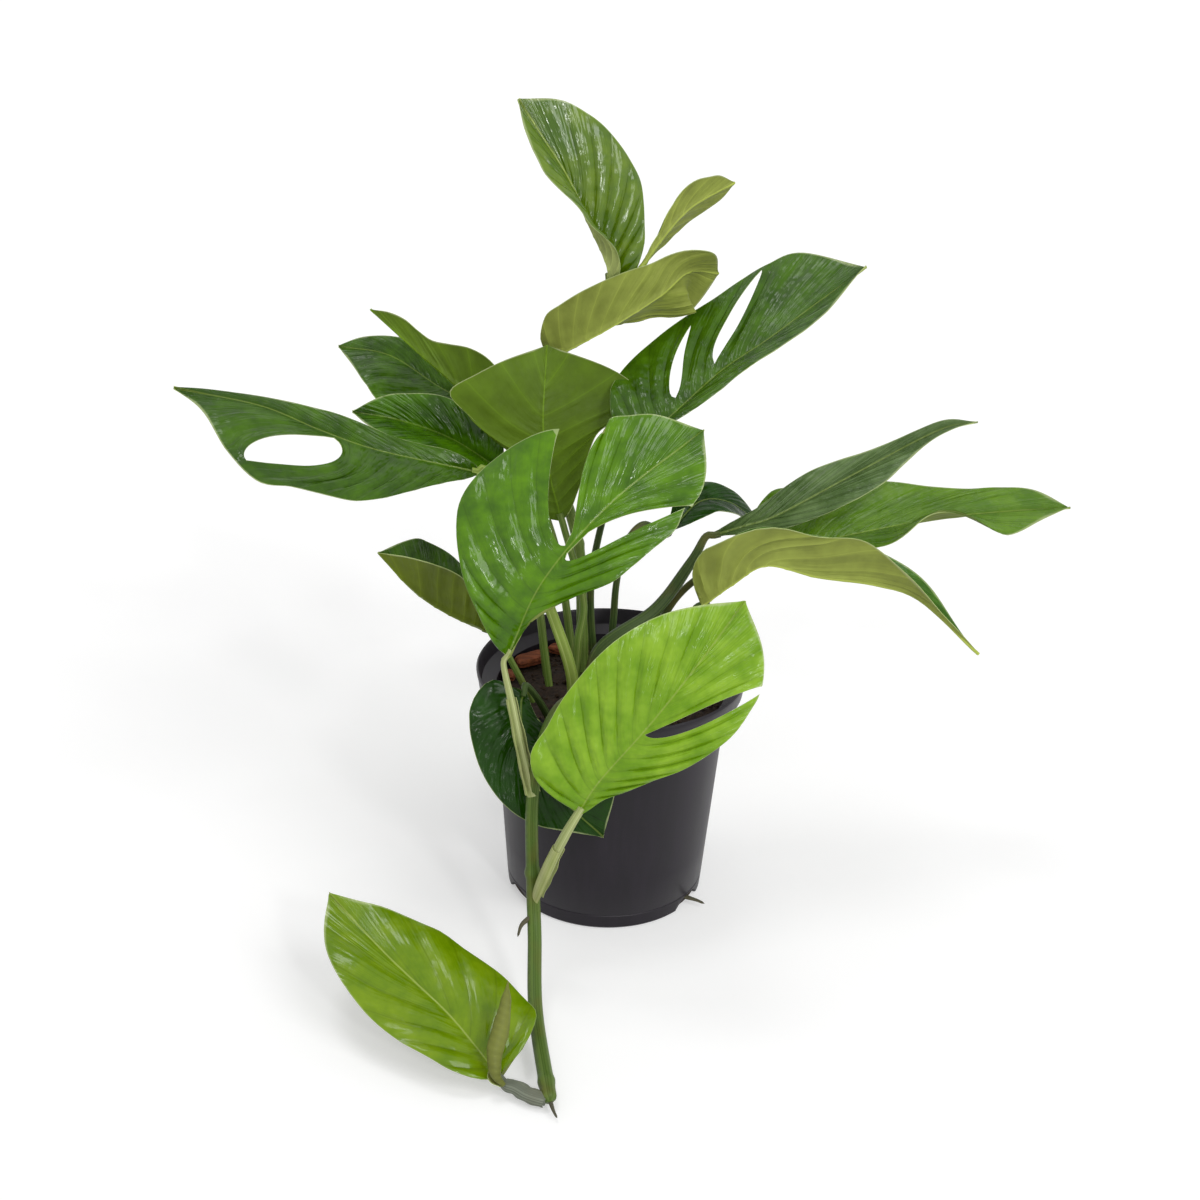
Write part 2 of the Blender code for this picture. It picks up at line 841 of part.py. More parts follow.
def soil_height(x, y):
    """The height of the soil's mounded top."""
    away = (x * x + y * y) ** 0.5 / soil_radius(SOIL_TOP)
    return SOIL_TOP + SOIL_MOUND * max(0.0, 1 - away * away)


def soil_profile(extra):
    """The outline of the plug of soil, from the pot's floor to its mounded top, grown by the extra."""
    low = FLOOR_THICKNESS + GAP - extra
    profile = [(0, low), (soil_radius(low) + extra, low)]
    for i in range(6):
        x = soil_radius(SOIL_TOP) * (1 - i / 5)
        profile.append((x + (extra if i == 0 else 0), soil_height(x, 0.0) + extra))
    return profile


def make_chip(chip, collection):
    """A bevelled chip of bark that rests on the soil."""
    name, middle, length, width, height, turn = chip
    bm = bmesh.new()
    bmesh.ops.create_cube(bm, size=1.0)
    bmesh.ops.scale(bm, vec=Vector((length, width, height)) * MM, verts=bm.verts)
    obj = add_object(name, mesh_of(bm, name), collection, BARK)
    reach = length / 2
    steps = (-reach, 0, reach)
    top = max(soil_height(middle[0] + dx, middle[1] + dy) for dx in steps for dy in steps)
    obj.location = Vector((*middle, top + GAP + height / 2)) * MM
    obj.rotation_euler = (0.0, 0.0, radians(turn))
    bevel = obj.modifiers.new("worn_edges", "BEVEL")
    bevel.width = BARK_WEAR * MM
    bevel.segments = 1
    return obj


def main():
    """Build the whole plant."""
    clear_scene()
    plant = make_collection(OBJECT_NAME)
    hidden = make_collection("cutters", shown=False)
    make_pot(plant, hidden)
    turned(SOIL, soil_profile(0.0), plant, PEAT)
    for chip in BARK_CHIPS:
        make_chip(chip, plant)
    for leaf in LEAVES:
        make_leaf(leaf, plant)
    cutters = {SOIL: hide_cutter(turned("soil_cutter", soil_profile(GAP), hidden))}
    for stalk in STALKS:
        if stalk.name in {other.grows_from for other in STALKS}:
            name = stalk.name + "_cutter"
            cutters[stalk.name] = hide_cutter(add_object(name, stalk_mesh(name, stalk, GAP), hidden))
    for stalk in STALKS:
        make_stalk(stalk, plant, cutters)


if __name__ == "__main__":
    main()
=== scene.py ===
"""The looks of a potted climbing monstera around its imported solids.

Lengths are millimetres, and one factor turns them to the frame's metres. +Z is up, the pot stands on z = 0
with its axis on the Z axis, and the stem trails over the rim towards -Y.
"""

import logging
from dataclasses import dataclass
from enum import Enum
from math import cos, pi, radians, sin

import bmesh
import bpy
import numpy as np
from mathutils import Matrix, Vector, noise

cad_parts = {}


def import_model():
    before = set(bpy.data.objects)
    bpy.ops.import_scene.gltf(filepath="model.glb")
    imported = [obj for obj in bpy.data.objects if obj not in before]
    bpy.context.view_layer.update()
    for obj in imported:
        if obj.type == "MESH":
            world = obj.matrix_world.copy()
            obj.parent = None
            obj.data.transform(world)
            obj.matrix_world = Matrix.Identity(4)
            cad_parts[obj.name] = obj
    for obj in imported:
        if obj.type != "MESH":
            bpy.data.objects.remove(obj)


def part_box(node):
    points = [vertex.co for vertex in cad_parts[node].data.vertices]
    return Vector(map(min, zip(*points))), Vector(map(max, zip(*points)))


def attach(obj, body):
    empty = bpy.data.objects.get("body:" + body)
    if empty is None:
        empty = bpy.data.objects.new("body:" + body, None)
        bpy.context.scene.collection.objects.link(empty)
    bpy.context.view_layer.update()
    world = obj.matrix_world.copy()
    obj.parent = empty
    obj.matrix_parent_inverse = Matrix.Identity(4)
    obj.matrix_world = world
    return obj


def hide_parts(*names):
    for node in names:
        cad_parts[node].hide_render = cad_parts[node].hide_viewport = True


LOG = logging.getLogger("potted_monstera")
MM = 0.001
BODY = "root"
CURVE_STEPS = 60
NO_LENGTH = 1e-12
SAME_PLACE = 1e-6
SOFT_ANGLE = 50.0


class Side(Enum):
    """The two halves of a blade, seen from above with the tip pointing away."""

    LEFT = -1
    RIGHT = 1


class Layer(Enum):
    """The material slots of a blade below its upper skin, which has slot 0."""

    UNDER = 1
    RIM = 2


# ---------------------------------------------------------------------------------------------------
# Finishes
# ---------------------------------------------------------------------------------------------------


def linear(hex_colour: str) -> tuple[float, float, float, float]:
    """Turn an sRGB hex colour into the linear colour that a shader takes.

    Args:
        hex_colour: six hex digits after a hash sign.

    Returns:
        Linear red, green, blue and an alpha of one.
    """
    channels = []
    for start in (1, 3, 5):
        value = int(hex_colour[start : start + 2], 16) / 255
        channels.append(value / 12.92 if value <= 0.04045 else ((value + 0.055) / 1.055) ** 2.4)
    return (channels[0], channels[1], channels[2], 1.0)


def add_node(
    tree: bpy.types.NodeTree, kind: str, settings: dict | None = None, links: dict | None = None
) -> bpy.types.Node:
    """Add a shader node with its settings and links.

    Args:
        tree: the node tree it goes into.
        kind: the node's type name.
        settings: values by property name, or by input name or number for an unlinked input.
        links: sockets of other nodes, by input name or number.

    Returns:
        The new node.
    """
    node = tree.nodes.new(kind)
    for key, value in (settings or {}).items():
        if isinstance(key, str) and hasattr(node, key):
            setattr(node, key, value)
        else:
            node.inputs[key].default_value = value
    for key, socket in (links or {}).items():
        tree.links.new(socket, node.inputs[key])
    return node


def new_material(name: str, settings: dict) -> tuple[bpy.types.Material, bpy.types.NodeTree, bpy.types.Node]:
    """Make a material whose Principled shader has these socket values.

    Args:
        name: the material's name.
        settings: values of the shader's sockets, by name.

    Returns:
        The material, its node tree and its shader.
    """
    material = bpy.data.materials.new(name)
    material.use_nodes = True
    tree = material.node_tree
    shader = tree.nodes["Principled BSDF"]
    for key, value in settings.items():
        shader.inputs[key].default_value = value
    return material, tree, shader


def drawn_out_noise(
    tree: bpy.types.NodeTree, place: bpy.types.NodeSocket, scale: tuple, detail: float, roughness: float
) -> bpy.types.NodeSocket:
    """Noise whose lumps are stretched.

    Args:
        tree: the material's node tree.
        place: the coordinates that it is drawn on.
        scale: how many lumps there are to a unit of each coordinate.
        detail: how many finer layers it has.
        roughness: how strong the finer layers are.

    Returns:
        The noise's value.
    """
    stretched = add_node(tree, "ShaderNodeMapping", {"Scale": scale}, {"Vector": place})
    settings = {"Scale": 1.0, "Detail": detail, "Roughness": roughness}
    return add_node(tree, "ShaderNodeTexNoise", settings, {"Vector": stretched.outputs[0]}).outputs[0]


def two_tone(
    tree: bpy.types.NodeTree, pattern: bpy.types.NodeSocket, low: float, high: float, tones: tuple[str, str]
) -> bpy.types.NodeSocket:
    """Blend two colours by a pattern.

    Args:
        tree: the material's node tree.
        pattern: the pattern's value.
        low: the value at which the first colour is pure.
        high: the value at which the second colour is pure.
        tones: the two hex colours.

    Returns:
        The blended colour.
    """
    share = add_node(tree, "ShaderNodeMapRange", {"From Min": low, "From Max": high}, {"Value": pattern})
    settings = {"data_type": "RGBA", 6: linear(tones[0]), 7: linear(tones[1])}
    return add_node(tree, "ShaderNodeMix", settings, {0: share.outputs[0]}).outputs[2]


RIB_GREEN = "#9db052"
RIM_GREEN = "#b3c187"
RIM_DULL = "#b3b98a"
# This darkens the shade green into the upper skin's vein colour: painted shade in the vein furrows.
PAINTED_GROOVE_SHADE_TONE = 0.72
UNDER_SHADE_TONE = 0.86
UNDER_VEIN_TONE = 1.2
UNDER_RIB_TONE = 1.28


@dataclass(frozen=True)
class Trace:
    """A line drawn along a vein or margin, whose colour fades out between two distances from it."""

    measure: str
    core: float
    fade: float
    colour: str
    strength: float


@dataclass(frozen=True)
class SkinFinish:
    """One skin of a living leaf: waxy cuticle over green flesh, with side veins, a pale midrib and rim.

    The two flesh colours change over patches about as wide as a fingertip, and fine puckers follow the side
    veins, which break up the highlights into streaks. On the upper skin the side veins are drawn darker,
    with a
    wider darker band beside each: painted shade in the vein furrows. The gloss is the cuticle's specular
    level.
    """

    name: str
    flesh: str
    shade: str
    vein: str
    rib: str
    rim: str
    roughness: float = 0.26
    gloss: float = 0.3
    vein_strength: float = 0.25
    rib_strength: float = 0.7
    grain: float = 0.6
    patch_mm: float = 16.0

    def traces(self) -> tuple[Trace, ...]:
        """The lines from the broadest, a wide band of vein colour beside each side vein, to the finest.

        On the upper skin the two vein lines are painted shade in the vein furrows; on the underside they are
        paler veins.
        """
        return (
            # The two vein lines: on the upper skin their colour is painted shade, the furrow beside each
            # vein darkened.
            Trace("vein_mm", 0.0, 3.0, self.vein, 0.5 * self.vein_strength),
            Trace("vein_mm", 0.05, 0.4, self.vein, self.vein_strength),
            Trace("rib_mm", 0.15, 0.6, self.rib, self.rib_strength),
            Trace("rim_mm", 0.1, 0.4, self.rim, 0.6),
        )

    def material(self) -> bpy.types.Material:
        """Make the skin's material, or find it if it is made."""
        made = bpy.data.materials.get(self.name)
        if made:
            return made
        settings = {"IOR": 1.45, "Specular IOR Level": self.gloss}
        material, tree, shader = new_material(self.name, settings)
        along = add_node(tree, "ShaderNodeUVMap", {"uv_map": "blade_mm"}).outputs[0]
        place = add_node(tree, "ShaderNodeTexCoord").outputs["Object"]
        patches = add_node(
            tree,
            "ShaderNodeTexNoise",
            {"Scale": 1000 / self.patch_mm, "Detail": 3.0, "Roughness": 0.6},
            {"Vector": place},
        )
        flesh = two_tone(tree, patches.outputs[0], 0.36, 0.66, (self.shade, self.flesh))
        for trace in self.traces():
            measure = add_node(tree, "ShaderNodeAttribute", {"attribute_name": trace.measure})
            line = add_node(
                tree,
                "ShaderNodeMapRange",
                {
                    "interpolation_type": "SMOOTHSTEP",
                    "From Min": trace.core,
                    "From Max": trace.fade,
                    "To Min": trace.strength,
                    "To Max": 0.0,
                },
                {"Value": measure.outputs["Fac"]},
            )
            flesh = add_node(
                tree,
                "ShaderNodeMix",
                {"data_type": "RGBA", 7: linear(trace.colour)},
                {0: line.outputs[0], 6: flesh},
            ).outputs[2]
        tree.links.new(flesh, shader.inputs["Base Color"])
        # The puckers are drawn out along the side veins: 14 mm long and 4 mm across.
        puckers = drawn_out_noise(tree, along, (0.07, 0.26, 1.0), 2.0, 0.5)
        # The cells between the finest veins are about 4 mm across.
        cells = add_node(
            tree,
            "ShaderNodeTexVoronoi",
            {"feature": "SMOOTH_F1", "Scale": 250.0, "Smoothness": 0.8},
            {"Vector": place},
        )
        relief = add_node(
            tree,
            "ShaderNodeMix",
            {"data_type": "FLOAT", 0: 0.18},
            {2: puckers, 3: cells.outputs["Distance"]},
        )
        settings = {"Strength": self.grain, "Distance": 0.003}
        bump = add_node(tree, "ShaderNodeBump", settings, {"Height": relief.outputs[0]})
        tree.links.new(bump.outputs[0], shader.inputs["Normal"])
        smoothest, dullest = self.roughness - 0.06, self.roughness + 0.08
        settings = {"From Min": 0.3, "From Max": 0.7, "To Min": smoothest, "To Max": dullest}
        wax = add_node(tree, "ShaderNodeMapRange", settings, {"Value": patches.outputs[0]})
        tree.links.new(wax.outputs[0], shader.inputs["Roughness"])
        return material


@dataclass(frozen=True)
class LeafFinish:
    """The two skins of a leaf and the pale cut edge between them."""

    name: str
    top: SkinFinish
    under: SkinFinish

    def materials(self) -> list[bpy.types.Material]:
        """The materials in the order of the blade's layers."""
        edge = bpy.data.materials.get(self.name + "_edge")
        if edge is None:
            settings = {"Base Color": linear(self.top.rim), "Roughness": 0.5, "IOR": 1.45}
            edge, tree, shader = new_material(self.name + "_edge", settings)
            place = add_node(tree, "ShaderNodeTexCoord").outputs["Object"]
            spots = add_node(tree, "ShaderNodeTexNoise", {"Scale": 120.0, "Detail": 2.0}, {"Vector": place})
            mixed = add_node(
                tree,
                "ShaderNodeMix",
                {"data_type": "RGBA", 6: linear(self.top.rib), 7: linear(self.top.rim)},
                {0: spots.outputs[0]},
            )
            tree.links.new(mixed.outputs[2], shader.inputs["Base Color"])
        return [self.top.material(), self.under.material(), edge]


def shaded(hex_colour: str, factor: float) -> str:
    """A darker version of a hex colour (factor under 1) or a lighter one."""
    channels = [min(255, int(int(hex_colour[i : i + 2], 16) * factor)) for i in (1, 3, 5)]
    return "#" + "".join(f"{channel:02x}" for channel in channels)


def leaf_finish(name: str, flesh: str, shade: str, under: str, **top: float) -> LeafFinish:
    """Pair the skins of a leaf of one age.

    Args:
        name: the age or place of the leaves that the finish is for.
        flesh: the lighter green of the upper side.
        shade: the darker green of the upper side.
        under: the green of the underside, which is duller and paler.
        **top: other settings of the upper skin, whose side veins are painted shade, darker than its flesh.

    Returns:
        The finish.
    """
    # Painted shade: the upper skin's vein lines take its shade green darkened, as the furrows look in shade.
    painted_groove_shade = shaded(shade, PAINTED_GROOVE_SHADE_TONE)
    upper = SkinFinish(name + "_upper_skin", flesh, shade, painted_groove_shade, RIB_GREEN, RIM_GREEN, **top)
    lower = SkinFinish(
        name + "_under_skin",
        under,
        shaded(under, UNDER_SHADE_TONE),
        shaded(under, UNDER_VEIN_TONE),
        shaded(under, UNDER_RIB_TONE),
        RIM_DULL,
        roughness=0.5,
        gloss=0.2,
        vein_strength=0.35,
        grain=0.3,
        patch_mm=22.0,
    )
    return LeafFinish(name, upper, lower)


YOUNG = leaf_finish(
    "young_leaf", "#8cb42c", "#6c9810", "#8f9d48", roughness=0.2, gloss=0.3, grain=0.5, rib_strength=0.45
)
LOW = leaf_finish("floor_leaf", "#76930a", "#608100", "#7a8638", roughness=0.16, gloss=0.35, grain=0.25)
CROWN = leaf_finish("crown_leaf", "#64800a", "#446600", "#a5b06a", roughness=0.17, gloss=0.55, grain=0.5)
PALE_BACKED = leaf_finish("pale_backed_leaf", "#457408", "#356004", "#96a24a")
ROLLED = leaf_finish("unfurling_leaf", "#6a7a2c", "#5a5a24", "#767c3a")
FRONT = leaf_finish(
    "front_leaf", "#5b8a00", "#3f6900", "#8f9c50", roughness=0.17, gloss=0.34, grain=0.4, rib_strength=0.4
)
SPLIT = leaf_finish(
    "split_leaf", "#436a02", "#2e5000", "#8a9656", roughness=0.18, gloss=0.28, grain=0.6, rib_strength=0.35
)
SHADY = leaf_finish("shaded_leaf", "#40600a", "#2c4a04", "#5c7817")
CUPPED = leaf_finish(
    "cupped_leaf", "#4c7a04", "#2c5000", "#66761a", roughness=0.2, vein_strength=0.12, rib_strength=0.2
)
OLD = leaf_finish("old_leaf", "#456c08", "#2a4a00", "#66761a", roughness=0.2, gloss=0.25, rib_strength=0.25)
DEEP = leaf_finish(
    "deep_leaf",
    "#1c4400",
    "#143400",
    "#4c5a24",
    roughness=0.2,
    gloss=0.2,
    vein_strength=0.12,
    rib_strength=0.3,
)
# Its greyed greens are painted sheen: the pale reflection across the leaf's upper side is put into its
# colours.
SHEEN_PAINTED = leaf_finish(
    "sheen_painted_leaf", "#667f4a", "#4a6430", "#7a885a", roughness=0.3, vein_strength=0.5, rib_strength=0.3
)
FAR = leaf_finish("far_leaf", "#638a18", "#4c740a", "#7f8f48", roughness=0.26, rib_strength=0.4)


@dataclass(frozen=True)
class StemFinish:
    """The skin of a juicy stem or stalk: smooth, with faint paler, drier lengthwise lines."""

    name: str
    flesh: str
    pale: str
    blush: str = "#7d6a3c"
    roughness: float = 0.42
    blush_share: float = 0.2

    def material(self) -> bpy.types.Material:
        """Make the stem's material, or find it if it is made."""
        made = bpy.data.materials.get(self.name)
        if made:
            return made
        settings = {"Roughness": self.roughness, "IOR": 1.42, "Specular IOR Level": 0.25}
        material, tree, shader = new_material(self.name, settings)
        around = add_node(tree, "ShaderNodeUVMap", {"uv_map": "around_mm"}).outputs[0]
        place = add_node(tree, "ShaderNodeTexCoord").outputs["Object"]
        # Lines under 1 mm apart that run 14 mm or more along the stem.
        lines = drawn_out_noise(tree, around, (1.3, 0.07, 1.0), 3.0, 0.6)
        striped = two_tone(tree, lines, 0.38, 0.68, (self.flesh, self.pale))
        patches = add_node(tree, "ShaderNodeTexNoise", {"Scale": 42.0, "Detail": 2.0}, {"Vector": place})
        flush = add_node(
            tree,
            "ShaderNodeMapRange",
            {"From Min": 0.52, "From Max": 0.72, "To Min": 0.0, "To Max": self.blush_share * 2.0},
            {"Value": patches.outputs[0]},
        )
        flushed = add_node(
            tree,
            "ShaderNodeMix",
            {"data_type": "RGBA", 7: linear(self.blush)},
            {0: flush.outputs[0], 6: striped},
        )
        # Corky specks up to 0.6 mm across, 1.4 mm apart.
        specks = add_node(tree, "ShaderNodeTexVoronoi", {"Scale": 700.0}, {"Vector": place})
        dotted = add_node(
            tree,
            "ShaderNodeMapRange",
            {"From Min": 0.08, "From Max": 0.2, "To Min": 0.5, "To Max": 0.0},
            {"Value": specks.outputs["Distance"]},
        )
        coloured = add_node(
            tree,
            "ShaderNodeMix",
            {"data_type": "RGBA", 7: linear(self.pale)},
            {0: dotted.outputs[0], 6: flushed.outputs[2]},
        )
        tree.links.new(coloured.outputs[2], shader.inputs["Base Color"])
        bump = add_node(tree, "ShaderNodeBump", {"Strength": 0.35, "Distance": 0.0006}, {"Height": lines})
        tree.links.new(bump.outputs[0], shader.inputs["Normal"])
        return material


STEM = StemFinish("climbing_stem_skin", "#445c1e", "#68803c", "#7c4a2e", blush_share=0.14)
STALK_BRIGHT = StemFinish("bright_stalk_skin", "#7f9a34", "#a9b968", blush_share=0.08)
STALK_GREEN = StemFinish("green_stalk_skin", "#5c7a2c", "#8c9f58", blush_share=0.12)
STALK_DARK = StemFinish("dark_stalk_skin", "#33471f", "#566a38", blush_share=0.2)
PALE_STALK = StemFinish("pale_stalk_skin", "#98a365", "#bfc78e", "#9a8a5a", blush_share=0.1)
# The floor leaf's stalk and sheath are a dull grey-green, partly their own and partly painted shade under
# the leaf.
SHADE_GREYED_STALK = StemFinish("shade_greyed_stalk_skin", "#62685a", "#868c7c", "#6d6a58", roughness=0.5)
SHEATH = StemFinish("dry_sheath_skin", "#98a55c", "#c4ca92", "#a8927a", roughness=0.5, blush_share=0.15)
ROOT = StemFinish("root_skin", "#4a4a3c", "#77715a", "#3a3129", roughness=0.75, blush_share=0.3)


@dataclass(frozen=True)
class NurseryPlastic:
    """Recycled black polypropylene, injection moulded: purplish black, satin, with a fine etched grain.

    Rubbing and dried water leave it slightly paler in faint upright smears.
    """

    name: str = "recycled_polypropylene"
    body: str = "#0f0913"
    rubbed: str = "#1b141f"

    def material(self) -> bpy.types.Material:
        """Make the pot's material."""
        settings = {"IOR": 1.49, "Specular IOR Level": 0.35}
        material, tree, shader = new_material(self.name, settings)
        place = add_node(tree, "ShaderNodeTexCoord").outputs["Object"]
        # Smears about 9 mm wide and 60 mm tall.
        smears = drawn_out_noise(tree, place, (110.0, 110.0, 16.0), 4.0, 0.55)
        colour = two_tone(tree, smears, 0.4, 0.75, (self.body, self.rubbed))
        tree.links.new(colour, shader.inputs["Base Color"])
        satin = add_node(tree, "ShaderNodeMapRange", {"To Min": 0.36, "To Max": 0.5}, {"Value": smears})
        tree.links.new(satin.outputs[0], shader.inputs["Roughness"])
        # The mould's etched grain, drawn at 0.7 mm because the real 0.2 mm is too fine to show.
        grain = add_node(tree, "ShaderNodeTexNoise", {"Scale": 1400.0, "Detail": 2.0}, {"Vector": place})
        settings = {"Strength": 0.12, "Distance": 0.0003}
        bump = add_node(tree, "ShaderNodeBump", settings, {"Height": grain.outputs[0]})
        tree.links.new(bump.outputs[0], shader.inputs["Normal"])
        return material


@dataclass(frozen=True)
class GroundFinish:
    """Peat, bark or another crumbly brown thing: two browns in grains, with a rough broken surface."""

    name: str
    dark: str
    light: str
    grain_mm: float
    stretch: float = 1.0
    roughness: float = 0.9

    def material(self) -> bpy.types.Material:
        """Make the material, or find it if it is made."""
        made = bpy.data.materials.get(self.name)
        if made:
            return made
        material, tree, shader = new_material(self.name, {"Roughness": self.roughness, "IOR": 1.4})
        place = add_node(tree, "ShaderNodeTexCoord").outputs["Object"]
        drawn = add_node(
            tree, "ShaderNodeMapping", {"Scale": (1.0 / self.stretch, 1.0, 1.0)}, {"Vector": place}
        )
        settings = {"Scale": 1000 / self.grain_mm, "Detail": 5.0, "Roughness": 0.7}
        grains = add_node(tree, "ShaderNodeTexNoise", settings, {"Vector": drawn.outputs[0]}).outputs[0]
        colour = two_tone(tree, grains, 0.35, 0.7, (self.dark, self.light))
        tree.links.new(colour, shader.inputs["Base Color"])
        bump = add_node(tree, "ShaderNodeBump", {"Strength": 0.8, "Distance": 0.0012}, {"Height": grains})
        tree.links.new(bump.outputs[0], shader.inputs["Normal"])
        return material


PEAT = GroundFinish("sphagnum_peat", "#17100c", "#3b2a1e", 3.0)
CRUMBS = GroundFinish("peat_crumbs", "#20160f", "#4a3625", 2.0)
BARK = GroundFinish("pine_bark", "#5b2a17", "#a05a36", 2.2, stretch=3.5, roughness=0.8)


# ---------------------------------------------------------------------------------------------------
# Shaping tools
# ---------------------------------------------------------------------------------------------------


def even_line(points: tuple, count: int) -> np.ndarray:
    """Points at even distances along a Catmull-Rom curve.

    Args:
        points: the given points, from base to tip.
        count: how many spans the line has.

    Returns:
        An array of count + 1 points.
    """
    fixed = np.array(points, float)
    ends = np.vstack([2 * fixed[0] - fixed[1], fixed, 2 * fixed[-1] - fixed[-2]])
    fine = []
    for i in range(len(fixed) - 1):
        p0, p1, p2, p3 = ends[i : i + 4]
        f = np.linspace(0, 1, CURVE_STEPS, endpoint=False)[:, None]
        bend = (p2 - p0) * f + (2 * p0 - 5 * p1 + 4 * p2 - p3) * f**2 + (3 * p1 - p0 - 3 * p2 + p3) * f**3
        fine.append(0.5 * (2 * p1 + bend))
    fine = np.vstack([*fine, fixed[-1:]])
    run = np.concatenate([[0.0], np.cumsum(np.linalg.norm(np.diff(fine, axis=0), axis=1))])
    return read_at(np.linspace(0, run[-1], count + 1), run, fine)


def read_at(places: np.ndarray, steps: np.ndarray, vectors: np.ndarray) -> np.ndarray:
    """The vectors, which are known at these steps, read at other places between them."""
    return np.stack([np.interp(places, steps, vectors[:, k]) for k in range(3)], axis=1)


def length_of(points: np.ndarray | list) -> float:
    """The length of a line through these points."""
    return float(np.linalg.norm(np.diff(np.array(points, float), axis=0), axis=1).sum())


def eased(values: tuple, t: np.ndarray) -> np.ndarray:
    """Values spread evenly from base to tip, eased between them.

    Args:
        values: one or more numbers.
        t: places from 0 at the base to 1 at the tip.

    Returns:
        The value at each place.
    """
    steps = np.array(values, float)
    if len(steps) == 1:
        return np.full_like(t, steps[0])
    place = np.clip(t, 0, 1) * (len(steps) - 1)
    low = np.minimum(place.astype(int), len(steps) - 2)
    f = place - low
    f = f * f * (3 - 2 * f)
    return steps[low] * (1 - f) + steps[low + 1] * f


def unit(vectors: np.ndarray) -> np.ndarray:
    """Scale each row to length one."""
    return vectors / np.maximum(np.linalg.norm(vectors, axis=1, keepdims=True), NO_LENGTH)


def round_about(first: np.ndarray, second: np.ndarray, angle: np.ndarray) -> np.ndarray:
    """The direction at each angle, turned from the first way towards the second."""
    return first * np.cos(angle)[:, None] + second * np.sin(angle)[:, None]


def rough(points: np.ndarray, size_mm: float, seed: float) -> np.ndarray:
    """Smooth noise from -1 to 1 at each point.

    Args:
        points: places in millimetres.
        size_mm: how wide its lumps are.
        seed: shifts the pattern.

    Returns:
        One number a point.
    """
    shift = Vector((seed, 2 * seed, -seed))
    return np.array([noise.noise(Vector(point) / size_mm + shift) for point in points])


def deselect() -> None:
    """Leave nothing selected, so that the next operator acts on its own object only."""
    bpy.ops.object.select_all(action="DESELECT")


def named(name: str) -> bpy.types.Object:
    """Name the object that an operator has just added, and its mesh."""
    obj = bpy.context.active_object
    obj.name = name
    obj.data.name = name
    return obj


def start_grid(name: str, across: int, along: int) -> tuple[bpy.types.Object, np.ndarray, np.ndarray]:
    """Add a plane grid and say which column and row each of its vertices is in.

    Args:
        name: the object's name.
        across: how many faces wide it is.
        along: how many faces long it is.

    Returns:
        The object, and each vertex's column and row.
    """
    deselect()
    bpy.ops.mesh.primitive_grid_add(x_subdivisions=across, y_subdivisions=along, size=2.0)
    obj = named(name)
    return obj, *grid_places(obj, across, along)


def grid_places(obj: bpy.types.Object, across: int, along: int) -> tuple[np.ndarray, np.ndarray]:
    """The column and row of each vertex of a flat grid that is this many faces wide and long."""
    flat = points_of(obj)
    columns = np.rint((flat[:, 0] + 1) / 2 * across).astype(int)
    rows = np.rint((flat[:, 1] + 1) / 2 * along).astype(int)
    return columns, rows


def points_of(obj: bpy.types.Object) -> np.ndarray:
    """The object's vertices as an array."""
    places = np.empty(len(obj.data.vertices) * 3)
    obj.data.vertices.foreach_get("co", places)
    return places.reshape(-1, 3)


def move_points(obj: bpy.types.Object, places: np.ndarray) -> None:
    """Put the object's vertices at these places, in metres."""
    obj.data.vertices.foreach_set("co", np.ascontiguousarray(places).ravel())
    obj.data.update()


def measure(obj: bpy.types.Object, name: str, values: np.ndarray) -> None:
    """Store a number on each vertex for the materials to read."""
    layer = obj.data.attributes.new(name, "FLOAT", "POINT")
    layer.data.foreach_set("value", np.ascontiguousarray(values, dtype=np.float32))


def values_of(obj: bpy.types.Object, name: str) -> np.ndarray:
    """The numbers stored on the vertices under a name."""
    values = np.empty(len(obj.data.vertices), np.float32)
    obj.data.attributes[name].data.foreach_get("value", values)
    return values.astype(float)


def unwrap(obj: bpy.types.Object, layer: str, u: np.ndarray, v: np.ndarray) -> None:
    """Give the object a UV map from two numbers a vertex, and drop any other.

    Args:
        obj: a mesh object.
        layer: the UV map's name.
        u: the first coordinate of each vertex.
        v: the second.
    """
    mesh = obj.data
    while mesh.uv_layers:
        mesh.uv_layers.remove(mesh.uv_layers[0])
    uv = mesh.uv_layers.new(name=layer)
    corners = np.empty(len(mesh.loops), int)
    mesh.loops.foreach_get("vertex_index", corners)
    uv.data.foreach_set("uv", np.stack([u[corners], v[corners]], axis=1).astype(np.float32).ravel())


def merge_points(obj: bpy.types.Object) -> None:
    """Join vertices that are at one place."""
    edit(obj)
    bpy.ops.mesh.select_all(action="SELECT")
    bpy.ops.mesh.remove_doubles(threshold=SAME_PLACE)
    bpy.ops.object.mode_set(mode="OBJECT")


def select_only(obj: bpy.types.Object) -> None:
    """Make this the one selected object and the active one."""
    deselect()
    obj.select_set(True)
    bpy.context.view_layer.objects.active = obj


def edit(obj: bpy.types.Object) -> None:
    """Go into edit mode on this object only."""
    select_only(obj)
    bpy.ops.object.mode_set(mode="EDIT")


def thicken(obj: bpy.types.Object, thickness: float, offset: float, under: int = 0, rim: int = 0) -> None:
    """Give a sheet its thickness.

    Args:
        obj: the sheet.
        thickness: how thick it becomes, in millimetres.
        offset: -1 to grow below the sheet, 0 to grow both ways.
        under: how many material slots the new lower skin's is after the sheet's.
        rim: the same for the rim.
    """
    thick = obj.modifiers.new("thickness", "SOLIDIFY")
    thick.thickness = thickness * MM
    thick.offset = offset
    thick.material_offset = under
    thick.material_offset_rim = rim
    apply_modifiers(obj)


def close_ends(sides: int) -> None:
    """Fill the open ends of the tube that is being edited, turn its faces outwards and leave edit mode."""
    bpy.ops.mesh.select_all(action="SELECT")
    bpy.ops.mesh.fill_holes(sides=sides + 2)
    bpy.ops.mesh.normals_make_consistent(inside=False)
    bpy.ops.object.mode_set(mode="OBJECT")


